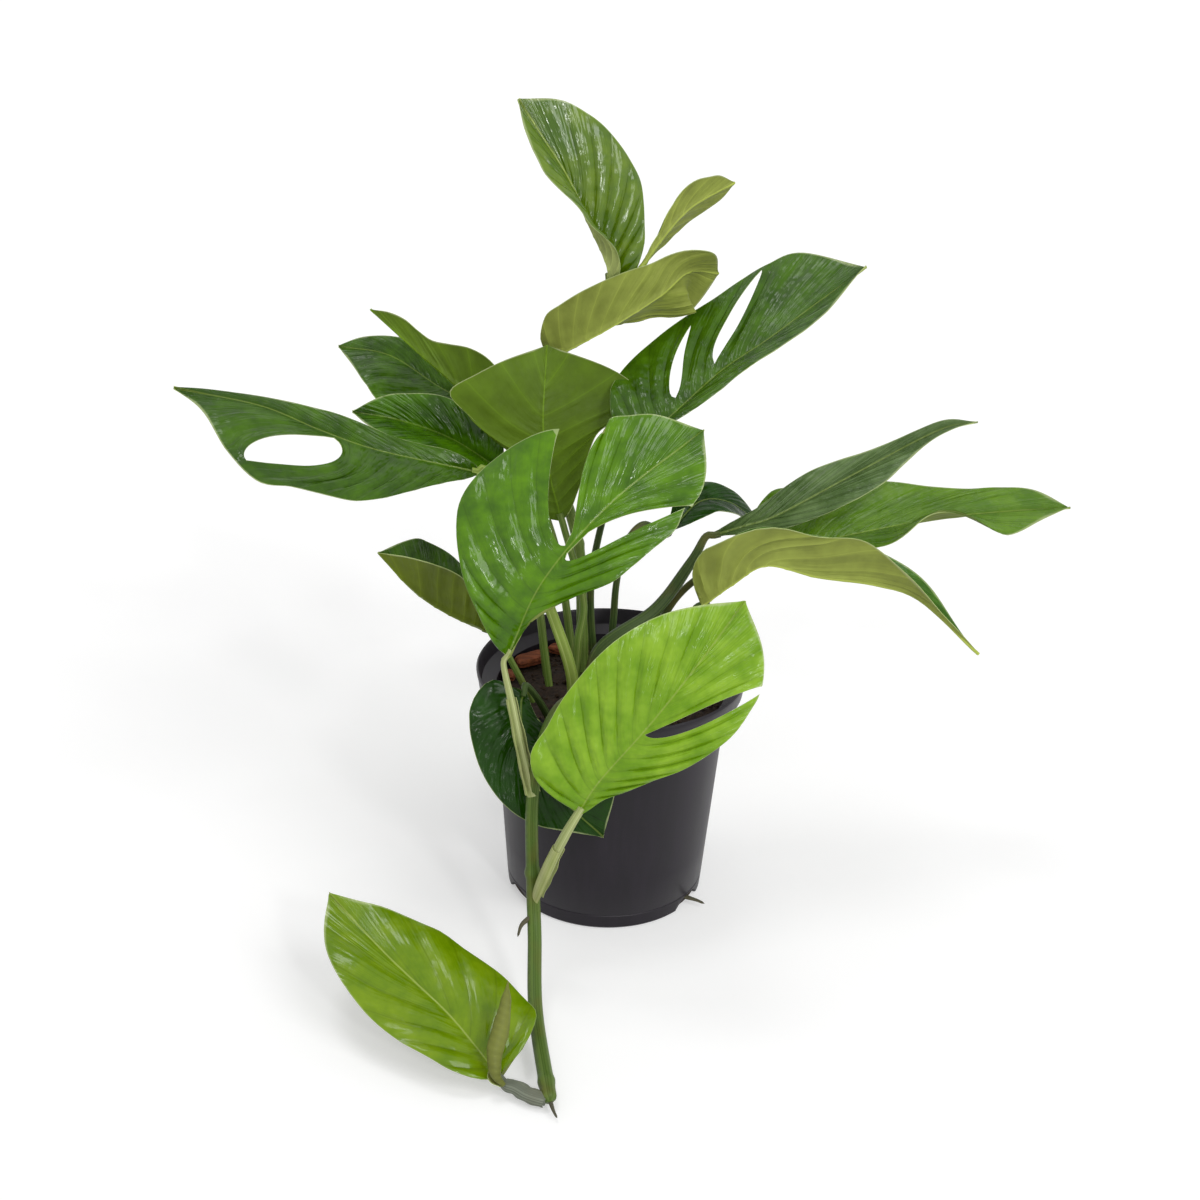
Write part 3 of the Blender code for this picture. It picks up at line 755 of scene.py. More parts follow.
def apply_modifiers(obj: bpy.types.Object) -> None:
    """Apply the object's modifiers in order."""
    select_only(obj)
    for name in [modifier.name for modifier in obj.modifiers]:
        bpy.ops.object.modifier_apply(modifier=name)


def smooth(obj: bpy.types.Object, degrees: float) -> None:
    """Shade the object smooth where its faces meet at less than this angle."""
    select_only(obj)
    bpy.ops.object.shade_smooth_by_angle(angle=radians(degrees))


def join(pieces: list[bpy.types.Object], name: str) -> bpy.types.Object:
    """Join objects into the first one.

    Args:
        pieces: objects, which keep their materials.
        name: the joined object's name.

    Returns:
        The joined object.
    """
    deselect()
    for piece in pieces:
        piece.select_set(True)
    bpy.context.view_layer.objects.active = pieces[0]
    bpy.ops.object.join()
    return named(name)


def dress(obj: bpy.types.Object, slot: str, *nodes: str) -> bpy.types.Object:
    """Fix a finished piece to the plant.

    Args:
        obj: the piece.
        slot: the record's material slot; it is not used.
        *nodes: the solids that it stands for.

    Returns:
        The piece.
    """
    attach(obj, BODY)
    if nodes:
        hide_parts(*nodes)
    LOG.info("%s: %d faces", obj.name, len(obj.data.polygons))
    return obj


# ---------------------------------------------------------------------------------------------------
# Leaves
# ---------------------------------------------------------------------------------------------------


@dataclass(frozen=True)
class Split:
    """A slit or hole between two side veins, from its inner to its outer share of the way to the margin.

    An outer end past 1 leaves the slit open. The lean moves the widest place in (under 1) or out (over 1).
    The corners are the shares by which the lobes before and after an open slit are shortened beside it.
    """

    side: Side
    at: float
    inner: float
    outer: float
    gap: float
    lean: float = 1.0
    corners: tuple = (0.0, 0.0)

    def beyond(self, a: np.ndarray, past: np.ndarray) -> np.ndarray:
        """1 for points nearer the tip than the slit or hole, and -1 for points nearer the base."""
        away = a - self.at
        return np.where(np.abs(away) < SAME_PLACE, past, np.sign(away))


@dataclass(frozen=True)
class Half:
    """One side of a blade: widths evenly spaced from base to tip, and how it is bent, in degrees along it.

    The fold raises it from flat at the midrib, and the curl turns it that much further by the margin where
    it is widest. A greater sweep makes the side veins reach further towards the tip.
    """

    widths: tuple
    fold: tuple = (10.0,)
    curl: tuple = (0.0,)
    sweep: float = 2.3


@dataclass(frozen=True)
class Leaf:
    """A blade: its midrib, which way its upper side faces, its two halves and how its surface is quilted.

    Quilt, wave and rib are the heights of the domes between side veins, of the margin's waves and of the
    midrib on the underside. A place on the blade is given by a, where its side vein leaves the midrib, by
    out, the share of the way to the margin, and by t, how far along the blade it is.
    """

    name: str
    finish: LeafFinish
    midrib: tuple
    faces: tuple
    left: Half
    right: Half
    splits: tuple = ()
    veins: int = 9
    quilt: float = 0.7
    wave: float = 0.8
    waves: float = 2.0
    rib: float = 1.1

    STEPS = 90
    FINE_STEPS = 400
    BETWEEN_VEINS = 6
    COLUMNS = 22
    MIDRIB_CROWDING = 1.15
    MARGIN_WEIGHT = 0.25
    THICKNESS = 0.4
    BASE_BLUNTNESS = 0.55
    VEIN_CROWDING = 1.2
    VEIN_BEND = 1.2
    VEIN_SPREADING = 0.5
    SPLIT_FULLNESS = 0.7
    SPLIT_REACH = 0.12
    CORNER_REACH = 0.05
    DOME_FULLNESS = 0.8
    DOME_START = 7.0
    DOME_END = 4.0
    DOME_ROOM = 12.0
    GROOVE_DEPTH = 0.8
    GROOVE_WIDTH = 1.5
    GROOVE_FADE = 0.7
    WAVE_SHIFT = 1.7
    RIB_WIDTH = 1.1
    RIB_FADE = 0.8
    VEIN_HEIGHT = 0.22
    VEIN_WIDTH = 0.7
    VEIN_ENDING = 6.0
    TIP_MARGIN = 0.4
    TIP_WIDTH = 8.0

    def half(self, side: Side) -> Half:
        """The half on this side."""
        return self.left if side is Side.LEFT else self.right

    def margin_share(self, a: np.ndarray, half: Half) -> np.ndarray:
        """Where on the margin the side vein ends that leaves the midrib at a."""
        return 1 - (1 - np.clip(a, 0, 1)) ** half.sweep

    def vein_places(self) -> np.ndarray:
        """Places of the side veins on the midrib, set so that a split runs midway between two of them."""
        fine = np.linspace(0, 1, self.FINE_STEPS)
        middle = (fine + (self.margin_share(fine, self.left) + self.margin_share(fine, self.right)) / 2) / 2
        places = np.interp(np.linspace(0, 1, self.veins + 1) ** self.VEIN_CROWDING, middle, fine)
        middles = (places[1:] + places[:-1]) / 2
        shifts = {0.0: 0.0, float(self.veins): 0.0}
        for split in self.splits:
            nearest = 1 + int(np.argmin(np.abs(middles[1:-1] - split.at)))
            shifts.setdefault(nearest + 0.5, split.at - middles[nearest])
        order = sorted(shifts)
        return places + np.interp(np.arange(self.veins + 1), order, [shifts[key] for key in order])

    def row_places(self) -> np.ndarray:
        """Places of all rows: the side veins and even steps between them."""
        veins = self.vein_places()
        steps = np.arange(self.veins * self.BETWEEN_VEINS + 1) / self.BETWEEN_VEINS
        rows = np.interp(steps, np.arange(len(veins)), veins)
        for split in self.splits:
            rows[np.argmin(np.abs(rows - split.at))] = split.at
        return rows

    def column_places(self) -> np.ndarray:
        """Shares of the way to the margin, closer together by the midrib and at the margin."""
        even = np.linspace(0, 1, self.COLUMNS + 1)
        by_midrib = even**self.MIDRIB_CROWDING
        by_margin = np.sin(even * pi / 2)
        return (1 - self.MARGIN_WEIGHT) * by_midrib + self.MARGIN_WEIGHT * by_margin

    def outline(self, half: Half, t: np.ndarray) -> np.ndarray:
        """The half width at t on a smooth margin, blunt at the base and pointed at the tip."""
        values = np.array((0.0, *half.widths, 0.0))
        spans = len(values) - 1
        knots = (np.arange(spans + 1) / spans) ** self.BASE_BLUNTNESS
        place = np.clip(t, 0, 1) ** self.BASE_BLUNTNESS
        i = np.clip(np.searchsorted(knots, place, side="left") - 1, 0, spans - 1)
        low = np.maximum(np.arange(spans + 1) - 1, 0)
        high = np.minimum(np.arange(spans + 1) + 1, spans)
        slopes = (values[high] - values[low]) / (knots[high] - knots[low])
        step = knots[i + 1] - knots[i]
        f = (place - knots[i]) / step
        rise = (values[i + 1] - values[i]) * f * f * (3 - 2 * f)
        bend = step * (slopes[i] * f * (1 - f) ** 2 - slopes[i + 1] * f * f * (1 - f))
        return np.maximum(0.0, values[i] + rise + bend)

    def length(self) -> float:
        """The midrib's length."""
        return length_of(even_line(self.midrib, self.STEPS))

    def frames(self, t: np.ndarray) -> tuple[np.ndarray, np.ndarray, np.ndarray]:
        """The midrib's point, the way to the right and the upward normal at each t."""
        line = even_line(self.midrib, self.STEPS)
        along = unit(np.gradient(line, axis=0))
        steps = np.linspace(0, 1, self.STEPS + 1)
        faces = unit(np.array(self.faces, float))
        facing = np.stack([eased(tuple(faces[:, k]), steps) for k in range(3)], axis=1)
        normals = unit(facing - (facing * along).sum(1, keepdims=True) * along)
        rights = np.cross(along, normals)
        place = np.clip(t, 0, 1)
        points, rights, normals = (read_at(place, steps, vectors) for vectors in (line, rights, normals))
        return points, unit(rights), unit(normals)

    def opening(self, split: Split, a: np.ndarray, out: np.ndarray, past: np.ndarray) -> np.ndarray:
        """How far along the blade each point beside a slit or hole moves, as a share of the length."""
        depth = np.clip((out - split.inner) / (split.outer - split.inner), 0, 1)
        bulge = np.sin(pi * depth**split.lean).clip(0) ** self.SPLIT_FULLNESS
        half_gap = split.gap / self.length() / 2 * bulge
        fade = np.clip(1 - np.abs(a - split.at) / (2 * half_gap + self.SPLIT_REACH), 0, 1) ** 2
        return split.beyond(a, past) * half_gap * fade

    def shortening(self, split: Split, a: np.ndarray, out: np.ndarray, past: np.ndarray) -> np.ndarray:
        """What is left of the width of the lobes beside an open slit, whose corners are rounded off."""
        cut = np.where(split.beyond(a, past) > 0, split.corners[1], split.corners[0])
        return 1 - cut * np.exp(-(((a - split.at) / self.CORNER_REACH) ** 2)) * out**2

    def relief(
        self, a: np.ndarray, out: np.ndarray, across: np.ndarray, t: np.ndarray, side: Side
    ) -> np.ndarray:
        """How far the skin stands off the plain surface.

        Args:
            a: where each point's side vein leaves the midrib.
            out: the share of the way to the margin.
            across: the distance from the midrib.
            t: how far along the blade each point is.
            side: the half that the points are on.

        Returns:
            The height of the quilting, the midrib's groove and the margin's waves together.
        """
        veins = self.vein_places()
        order = np.interp(a, veins, np.arange(len(veins)))
        dome = np.sin(pi * (order % 1.0)).clip(0) ** self.DOME_FULLNESS
        inner = np.clip(out * self.DOME_START, 0, 1)
        outer = np.clip((1 - out) * self.DOME_END, 0, 1) ** 0.5
        room = np.clip(across / self.DOME_ROOM, 0, 1)
        groove = np.exp(-((across / self.GROOVE_WIDTH) ** 2)) * (1 - self.GROOVE_FADE * t)
        shift = 0.0 if side is Side.LEFT else self.WAVE_SHIFT
        wave = np.sin(2 * pi * self.waves * t + shift) * out**2
        return self.quilt * dome * (inner * outer) * room - self.GROOVE_DEPTH * groove + self.wave * wave

    def surface(self, a: np.ndarray, v: np.ndarray, past: np.ndarray) -> tuple[np.ndarray, np.ndarray]:
        """Places of the skin's points.

        Args:
            a: where each point's side vein leaves the midrib.
            v: the share of the way to the margin, below zero on the left.
            past: which way a point on a split moves out of it.

        Returns:
            The points, and how far each is from the midrib.
        """
        places = np.zeros((len(a), 3))
        spans = np.zeros(len(a))
        for side in Side:
            here = (v < 0) if side is Side.LEFT else (v >= 0)
            half = self.half(side)
            out = np.abs(v[here])
            start = a[here]
            edge = self.margin_share(start, half)
            t = start + (edge - start) * out**self.VEIN_BEND
            across = self.outline(half, edge) * out
            for split in self.splits:
                if split.side is side:
                    t = t + self.opening(split, start, out, past[here])
                    across = across * self.shortening(split, start, out, past[here])
            fold = np.radians(eased(half.fold, t))
            turn = np.radians(eased(half.curl, t)) / max(half.widths)
            turn = np.where(np.abs(turn) < SAME_PLACE, SAME_PLACE, turn)
            ending = fold + turn * across
            along = (np.sin(ending) - np.sin(fold)) / turn
            rise = (np.cos(fold) - np.cos(ending)) / turn
            lift = self.relief(start, out, across, t, side)
            point, right, normal = self.frames(t)
            outward = along - lift * np.sin(ending)
            upward = rise + lift * np.cos(ending)
            places[here] = point + side.value * right * outward[:, None] + normal * upward[:, None]
            spans[here] = across
        return places, spans

    def open_splits(self, obj: bpy.types.Object, columns: np.ndarray, rows: np.ndarray) -> None:
        """Part the grid along each slit or hole."""
        shares = self.column_places()
        veins = self.row_places()
        edit(obj)
        bm = bmesh.from_edit_mesh(obj.data)
        bpy.ops.mesh.select_all(action="DESELECT")
        for split in self.splits:
            row = int(np.argmin(np.abs(veins - split.at)))
            first = int(np.argmin(np.abs(shares - split.inner)))
            last = self.COLUMNS
            if split.outer <= 1:
                last = min(int(np.argmin(np.abs(shares - split.outer))), self.COLUMNS - 1)
            for edge in bm.edges:
                ends = [vert.index for vert in edge.verts]
                outs = [(columns[i] - self.COLUMNS) * split.side.value for i in ends]
                if all(rows[i] == row for i in ends) and first <= min(outs) and max(outs) <= last:
                    edge.select = True
        bmesh.update_edit_mesh(obj.data)
        bpy.ops.mesh.edge_split(type="EDGE")
        bpy.ops.object.mode_set(mode="OBJECT")

    def sides_of_splits(self, obj: bpy.types.Object) -> np.ndarray:
        """For each vertex, 1 if its faces lie nearer the tip than it does, else -1."""
        mesh = obj.data
        middles = np.zeros(len(mesh.vertices))
        counts = np.zeros(len(mesh.vertices))
        for polygon in mesh.polygons:
            for index in polygon.vertices:
                middles[index] += polygon.center.y
                counts[index] += 1
        return np.where(middles / counts > points_of(obj)[:, 1], 1.0, -1.0)

    def raise_ribs(self, obj: bpy.types.Object) -> None:
        """Raise the midrib and side veins on the underside, where they stand out from the flesh."""
        mesh = obj.data
        under = np.zeros(len(mesh.vertices), bool)
        for polygon in mesh.polygons:
            if polygon.material_index == Layer.UNDER.value:
                under[list(polygon.vertices)] = True
        normals = np.empty(len(mesh.vertices) * 3)
        mesh.vertices.foreach_get("normal", normals)
        rib = values_of(obj, "rib_mm")
        vein = values_of(obj, "vein_mm")
        rim = values_of(obj, "rim_mm")
        place = values_of(obj, "along_mm") / self.length()
        height = self.rib * (1 - self.RIB_FADE * place.clip(0, 1)) * np.exp(-((rib / self.RIB_WIDTH) ** 2))
        ending = np.clip(rim / self.VEIN_ENDING, 0, 1)
        height += self.VEIN_HEIGHT * np.exp(-((vein / self.VEIN_WIDTH) ** 2)) * ending
        places = points_of(obj) + normals.reshape(-1, 3) * (height * under * MM)[:, None]
        move_points(obj, places)

    def measure_skin(self, obj: bpy.types.Object, a: np.ndarray, v: np.ndarray, spans: np.ndarray) -> None:
        """Store how far each point is from the veins, the midrib and the margin.

        Args:
            obj: the blade.
            a: where each point's side vein leaves the midrib.
            v: the share of the way to the margin, below zero on the left.
            spans: the distance from the midrib.
        """
        length = self.length()
        out = np.abs(v)
        nearest = np.abs(a[:, None] - self.vein_places()[None, 1:-1]).min(axis=1)
        left, right = (self.outline(half, self.margin_share(a, half)) for half in (self.left, self.right))
        widest = np.where(v < 0, left, right)
        # Where the blade is narrow, the rim's colour would otherwise cover it.
        margins = (1 - out) * widest + self.TIP_MARGIN * np.clip(1 - widest / self.TIP_WIDTH, 0, 1)
        for split in self.splits:
            beside = (np.abs(a - split.at) < SAME_PLACE) & (np.sign(v) == split.side.value)
            parted = beside & (out > split.inner) & (out < split.outer)
            margins = np.where(parted, 0.0, margins)
        # Side veins lie further apart near the margin than where they leave the midrib.
        spreading = 1 - self.VEIN_SPREADING / 2 + self.VEIN_SPREADING * out
        measure(obj, "vein_mm", nearest * length * spreading)
        measure(obj, "rib_mm", spans)
        measure(obj, "rim_mm", margins)
        measure(obj, "along_mm", a * length)
        measure(obj, "across_mm", np.sign(v) * spans)

    def build(self) -> bpy.types.Object:
        """Make the blade, give it its thickness and ribs, and dress it."""
        across, along = 2 * self.COLUMNS, self.veins * self.BETWEEN_VEINS
        obj, columns, rows = start_grid(self.name + "_blade", across, along)
        if self.splits:
            self.open_splits(obj, columns, rows)
            columns, rows = grid_places(obj, across, along)
        past = self.sides_of_splits(obj)
        a = self.row_places()[rows]
        v = np.sign(columns - self.COLUMNS) * self.column_places()[np.abs(columns - self.COLUMNS)]
        places, spans = self.surface(a, v, past)
        move_points(obj, places * MM)
        self.measure_skin(obj, a, v, spans)
        merge_points(obj)
        for material in self.finish.materials():
            obj.data.materials.append(material)
        thicken(obj, self.THICKNESS, -1.0, under=Layer.UNDER.value, rim=Layer.RIM.value)
        self.raise_ribs(obj)
        unwrap(obj, "blade_mm", values_of(obj, "across_mm"), values_of(obj, "along_mm"))
        smooth(obj, SOFT_ANGLE)
        return dress(obj, "leaf", self.name)


LEAVES = (
    Leaf(
        "leaf_crown_top",
        CROWN,
        ((-9, 62, 338), (-11, 60, 349), (-30, 68, 387), (-46, 74, 410), (-60, 80, 429)),
        ((0.25, -0.9, 0.3),),
        left=Half((13, 21, 23, 19, 10), (130, 75, 45, 35), sweep=3.8),
        right=Half((21, 27, 32, 36, 36, 34, 31, 26, 17), (20, 8, 5), curl=(0, -20, -30, -20, 0), sweep=3.8),
        veins=10,
        quilt=1.8,
    ),
    Leaf(
        "leaf_crown_narrow",
        PALE_BACKED,
        ((7, 70, 343), (18, 82, 357), (34, 96, 372), (58, 110, 383)),
        ((-0.5, 0.8, 0.35),),
        left=Half((4, 6, 8, 9, 11, 12, 12, 10, 7)),
        right=Half((1, 3, 4, 7, 9, 12, 13, 11, 8)),
        veins=7,
        quilt=0.4,
        wave=0.4,
    ),
    Leaf(
        "leaf_crown_rolled",
        PALE_BACKED,
        ((-41, 62, 294), (-34, 60, 298), (-8, 60, 313), (19, 66, 330), (34, 76, 341), (51, 90, 337)),
        ((0.0, 0.8, 0.5),),
        left=Half(
            (1, 2, 3, 4, 5, 7, 9, 11, 14, 17, 19, 21, 23, 25, 26, 27, 27, 24),
            (80, 60, 20, -15, -30),
            sweep=3.0,
        ),
        right=Half((24, 27, 28, 27, 25, 22, 18, 15, 12)),
        veins=10,
        quilt=0.5,
        wave=0.4,
    ),
    Leaf(
        "leaf_right_split",
        SPLIT,
        ((5, -5, 267), (26, 12, 280), (53, 40, 297), (78, 60, 309), (107, 80, 326), (133, 95, 342)),
        ((-0.3, -0.55, 0.8),),
        left=Half((34, 41, 44, 44, 43, 42, 42, 41, 34), (5,), sweep=3.4),
        right=Half((6, 11, 16, 19, 20, 18, 16, 13, 7), (25,), sweep=3.0),
        splits=(Split(Side.LEFT, 0.2, 0.15, 0.83, 11.0, 0.6), Split(Side.LEFT, 0.37, 0.15, 0.96, 17.0)),
        veins=12,
        quilt=1.4,
        wave=1.2,
    ),
    Leaf(
        "leaf_far_left",
        SPLIT,
        ((-75, 10, 245), (-127, 0, 259), (-156, -8, 272), (-185, -16, 287), (-228, -20, 296)),
        ((0.1, -0.45, 0.9),),
        left=Half((14, 24, 34, 42, 46, 50, 55, 38, 12), (5,), sweep=2.2),
        right=Half((8, 9, 10, 12, 12, 10, 7, 5, 3), (30, 20, 10, 0), sweep=2.6),
        splits=(Split(Side.LEFT, 0.475, 0.04, 0.93, 34.0, 1.05),),
        veins=12,
        quilt=1.1,
        wave=1.0,
    ),
    Leaf(
        "leaf_centre_back",
        SHADY,
        ((-30, 15, 217), (-38, 24, 242), (-42, 30, 268), (-41, 44, 306)),
        ((0.0, 0.9, 0.3),),
        left=Half((11, 18, 22, 26, 31, 43, 52, 50, 34), (-5,)),
        right=Half((14, 17, 18, 19, 24, 41, 53, 39, 22), (-21,)),
        veins=9,
        quilt=0.9,
        wave=1.0,
    ),
    Leaf(
        "leaf_centre_front",
        FRONT,
        ((-53, -75, 178), (-36, -66, 217), (-3, -42, 251), (43, -10, 280)),
        ((0.1, -0.8, 0.6),),
        left=Half((22, 40, 57, 62, 60, 53, 41, 31, 21), (15,), curl=(0, -30, -45, -30, 0), sweep=2.2),
        right=Half((3, 8, 20, 30, 33, 34, 34, 30, 20), (15,), sweep=2.9),
        splits=(
            Split(Side.LEFT, 0.405, 0.03, 1.28, 21.0, 0.75, corners=(-0.06, 0.3)),
            Split(Side.RIGHT, 0.405, 0.03, 1.02, 29.0, 0.6, corners=(0.12, 0.06)),
        ),
        veins=12,
        quilt=1.7,
        wave=1.2,
    ),
    Leaf(
        "leaf_rim_bright",
        YOUNG,
        ((-14, -115, 111), (-4, -115, 130), (21, -110, 162), (44, -98, 191), (65, -80, 216)),
        ((0.15, -0.8, 0.6),),
        left=Half((35, 38, 41, 42, 42, 40, 35, 27, 15), (8,), sweep=3.0),
        right=Half((7, 14, 20, 27, 32, 35, 34, 30, 20), (8,), sweep=3.0),
        splits=(Split(Side.RIGHT, 0.39, 0.05, 1.04, 15.0, 1.05, corners=(-0.04, 0.0)),),
        veins=12,
        quilt=1.9,
    ),
    Leaf(
        "leaf_floor",
        LOW,
        ((-47, -195, 9), (-72, -171, 24), (-93, -154, 33), (-111, -141, 42), (-142, -112, 55)),
        ((0.3, -0.6, 0.7),),
        left=Half((18, 24, 28, 30, 31, 30, 27, 22, 13), sweep=3.8),
        right=Half((33, 37, 37, 35, 33, 30, 25, 18, 8), curl=(0, -30, -50, -40, -10), sweep=3.8),
        veins=7,
        quilt=1.5,
        wave=1.2,
    ),
    Leaf(
        "leaf_rim_dark",
        DEEP,
        ((-45, -60, 150), (-46, -71, 146), (-42, -81, 125), (-27, -84, 104), (-1, -84, 78)),
        ((0.0, -0.9, 0.3),),
        left=Half((8, 22, 33, 33, 25)),
        right=Half((25, 27, 26, 25, 24, 22, 18, 12, 6)),
        veins=9,
        quilt=0.8,
    ),
    Leaf(
        "leaf_left_low",
        OLD,
        ((-67, -15, 163), (-88, -20, 175), (-106, -25, 190), (-124, -30, 213)),
        ((0.1, -0.2, 1.0),),
        left=Half((15, 21, 25, 27, 28, 27, 25, 21, 13), (75,)),
        right=Half((23, 27, 31, 33, 33, 32, 30, 26, 15), (25,)),
        veins=8,
    ),
    Leaf(
        "leaf_left_dark",
        OLD,
        ((-69, 85, 248), (-105, 95, 264), (-134, 103, 279), (-164, 107, 282)),
        ((0.1, -0.5, 0.85),),
        left=Half((24, 34, 38, 40, 39, 37, 33, 26, 13)),
        right=Half((12, 15, 18, 19, 18, 17, 14, 11, 7)),
        veins=9,
        quilt=1.4,
    ),
    Leaf(
        "leaf_left_back",
        SHADY,
        ((-70, 52, 256), (-92, 60, 277), (-113, 68, 292), (-128, 74, 303), (-141, 80, 312)),
        ((0.5, -0.55, 0.65),),
        left=Half((18, 23, 24, 21, 15, 10, 9, 9, 6), (122,)),
        right=Half((20, 24, 24, 20, 15, 11, 9, 8, 5), (15,)),
        veins=8,
        quilt=0.9,
    ),
    Leaf(
        "leaf_left_cupped",
        CUPPED,
        ((-65, 30, 239), (-92, 35, 254), (-120, 37, 263), (-146, 37, 267)),
        ((0.0, -0.4, 0.9),),
        left=Half((19, 23, 26, 28, 28, 27, 24, 19, 11), (20,)),
        right=Half((16, 19, 20, 20, 20, 18, 15, 12, 7), (55,)),
        veins=8,
        quilt=0.6,
    ),
    Leaf(
        "leaf_right_upper",
        SHEEN_PAINTED,
        ((54, 30, 205), (71, 31, 211), (89, 34, 217), (132, 48, 238), (176, 60, 260), (199, 66, 264)),
        ((-0.3, -0.5, 0.8),),
        left=Half((5, 9, 12, 13, 11, 8, 6, 5, 4), (40,), sweep=3.2),
        right=Half((6, 10, 14, 17, 18, 16, 10, 5, 3), (5,), sweep=3.2),
        veins=12,
        quilt=1.0,
    ),
    Leaf(
        "leaf_right_far",
        FAR,
        ((74, 40, 194), (104, 46, 194), (131, 52, 199), (182, 60, 208), (230, 62, 214), (256, 60, 217)),
        ((0.0, -0.4, 0.9),),
        left=Half((36, 39, 38, 35, 29, 21, 17, 17, 14), sweep=3.0),
        right=Half((6, 9, 13, 17, 17, 13, 16, 21, 11), (0, 5, 10, 60, 10, 0), sweep=3.0),
        veins=12,
        quilt=1.2,
        wave=1.2,
    ),
    Leaf(
        "leaf_right_drooping",
        PALE_BACKED,
        (
            (48, -5, 179),
            (63, -5, 192),
            (81, -3, 203),
            (110, 4, 194),
            (143, 9, 188),
            (169, 12, 178),
            (204, 10, 147),
        ),
        ((0.0, -0.1, 1.0),),
        left=Half((19, 21, 22, 24, 22, 18, 12, 7, 3), (40, 40, 42, 50, 45), sweep=3.2),
        right=Half((27, 25, 23, 26, 27, 18, 9, 4, 2), (85, 85, 80, 70, 60), sweep=3.2),
        veins=11,
        quilt=1.0,
        wave=1.2,
    ),
    Leaf(
        "leaf_right_back",
        DEEP,
        ((31, 55, 197), (47, 70, 209), (65, 78, 206), (84, 85, 190)),
        ((0.0, -0.3, 0.95),),
        left=Half((7, 11, 13, 13, 11, 9, 6)),
        right=Half((8, 13, 16, 17, 15, 12, 7)),
        veins=7,
        quilt=1.0,
        wave=0.4,
    ),
)


# ---------------------------------------------------------------------------------------------------
# Stems, stalks and roots
# ---------------------------------------------------------------------------------------------------


@dataclass(frozen=True)
class Swelling:
    """A ring or joint on a stem: its share of the length, how much thicker it is and how long it is."""

    at: float
    extra: float
    length: float


@dataclass(frozen=True)
class Sheath:
    """The papery wings at the foot of a stalk, which once wrapped the younger leaf.

    They run over a share of the stalk, stand off it by a flare, and leave a gap between their edges.
    """

    start: float
    end: float
    flare: tuple
    opens_towards: tuple
    gap_degrees: float = 120.0

    ROWS = 26
    COLUMNS = 20
    THICKNESS = 0.35
    CLEARANCE = 0.35
    RUFFLE = 0.25
    RUFFLES_ALONG = 19.0
    RUFFLES_ACROSS = 4.0
    EDGE_AROUND = 6.0


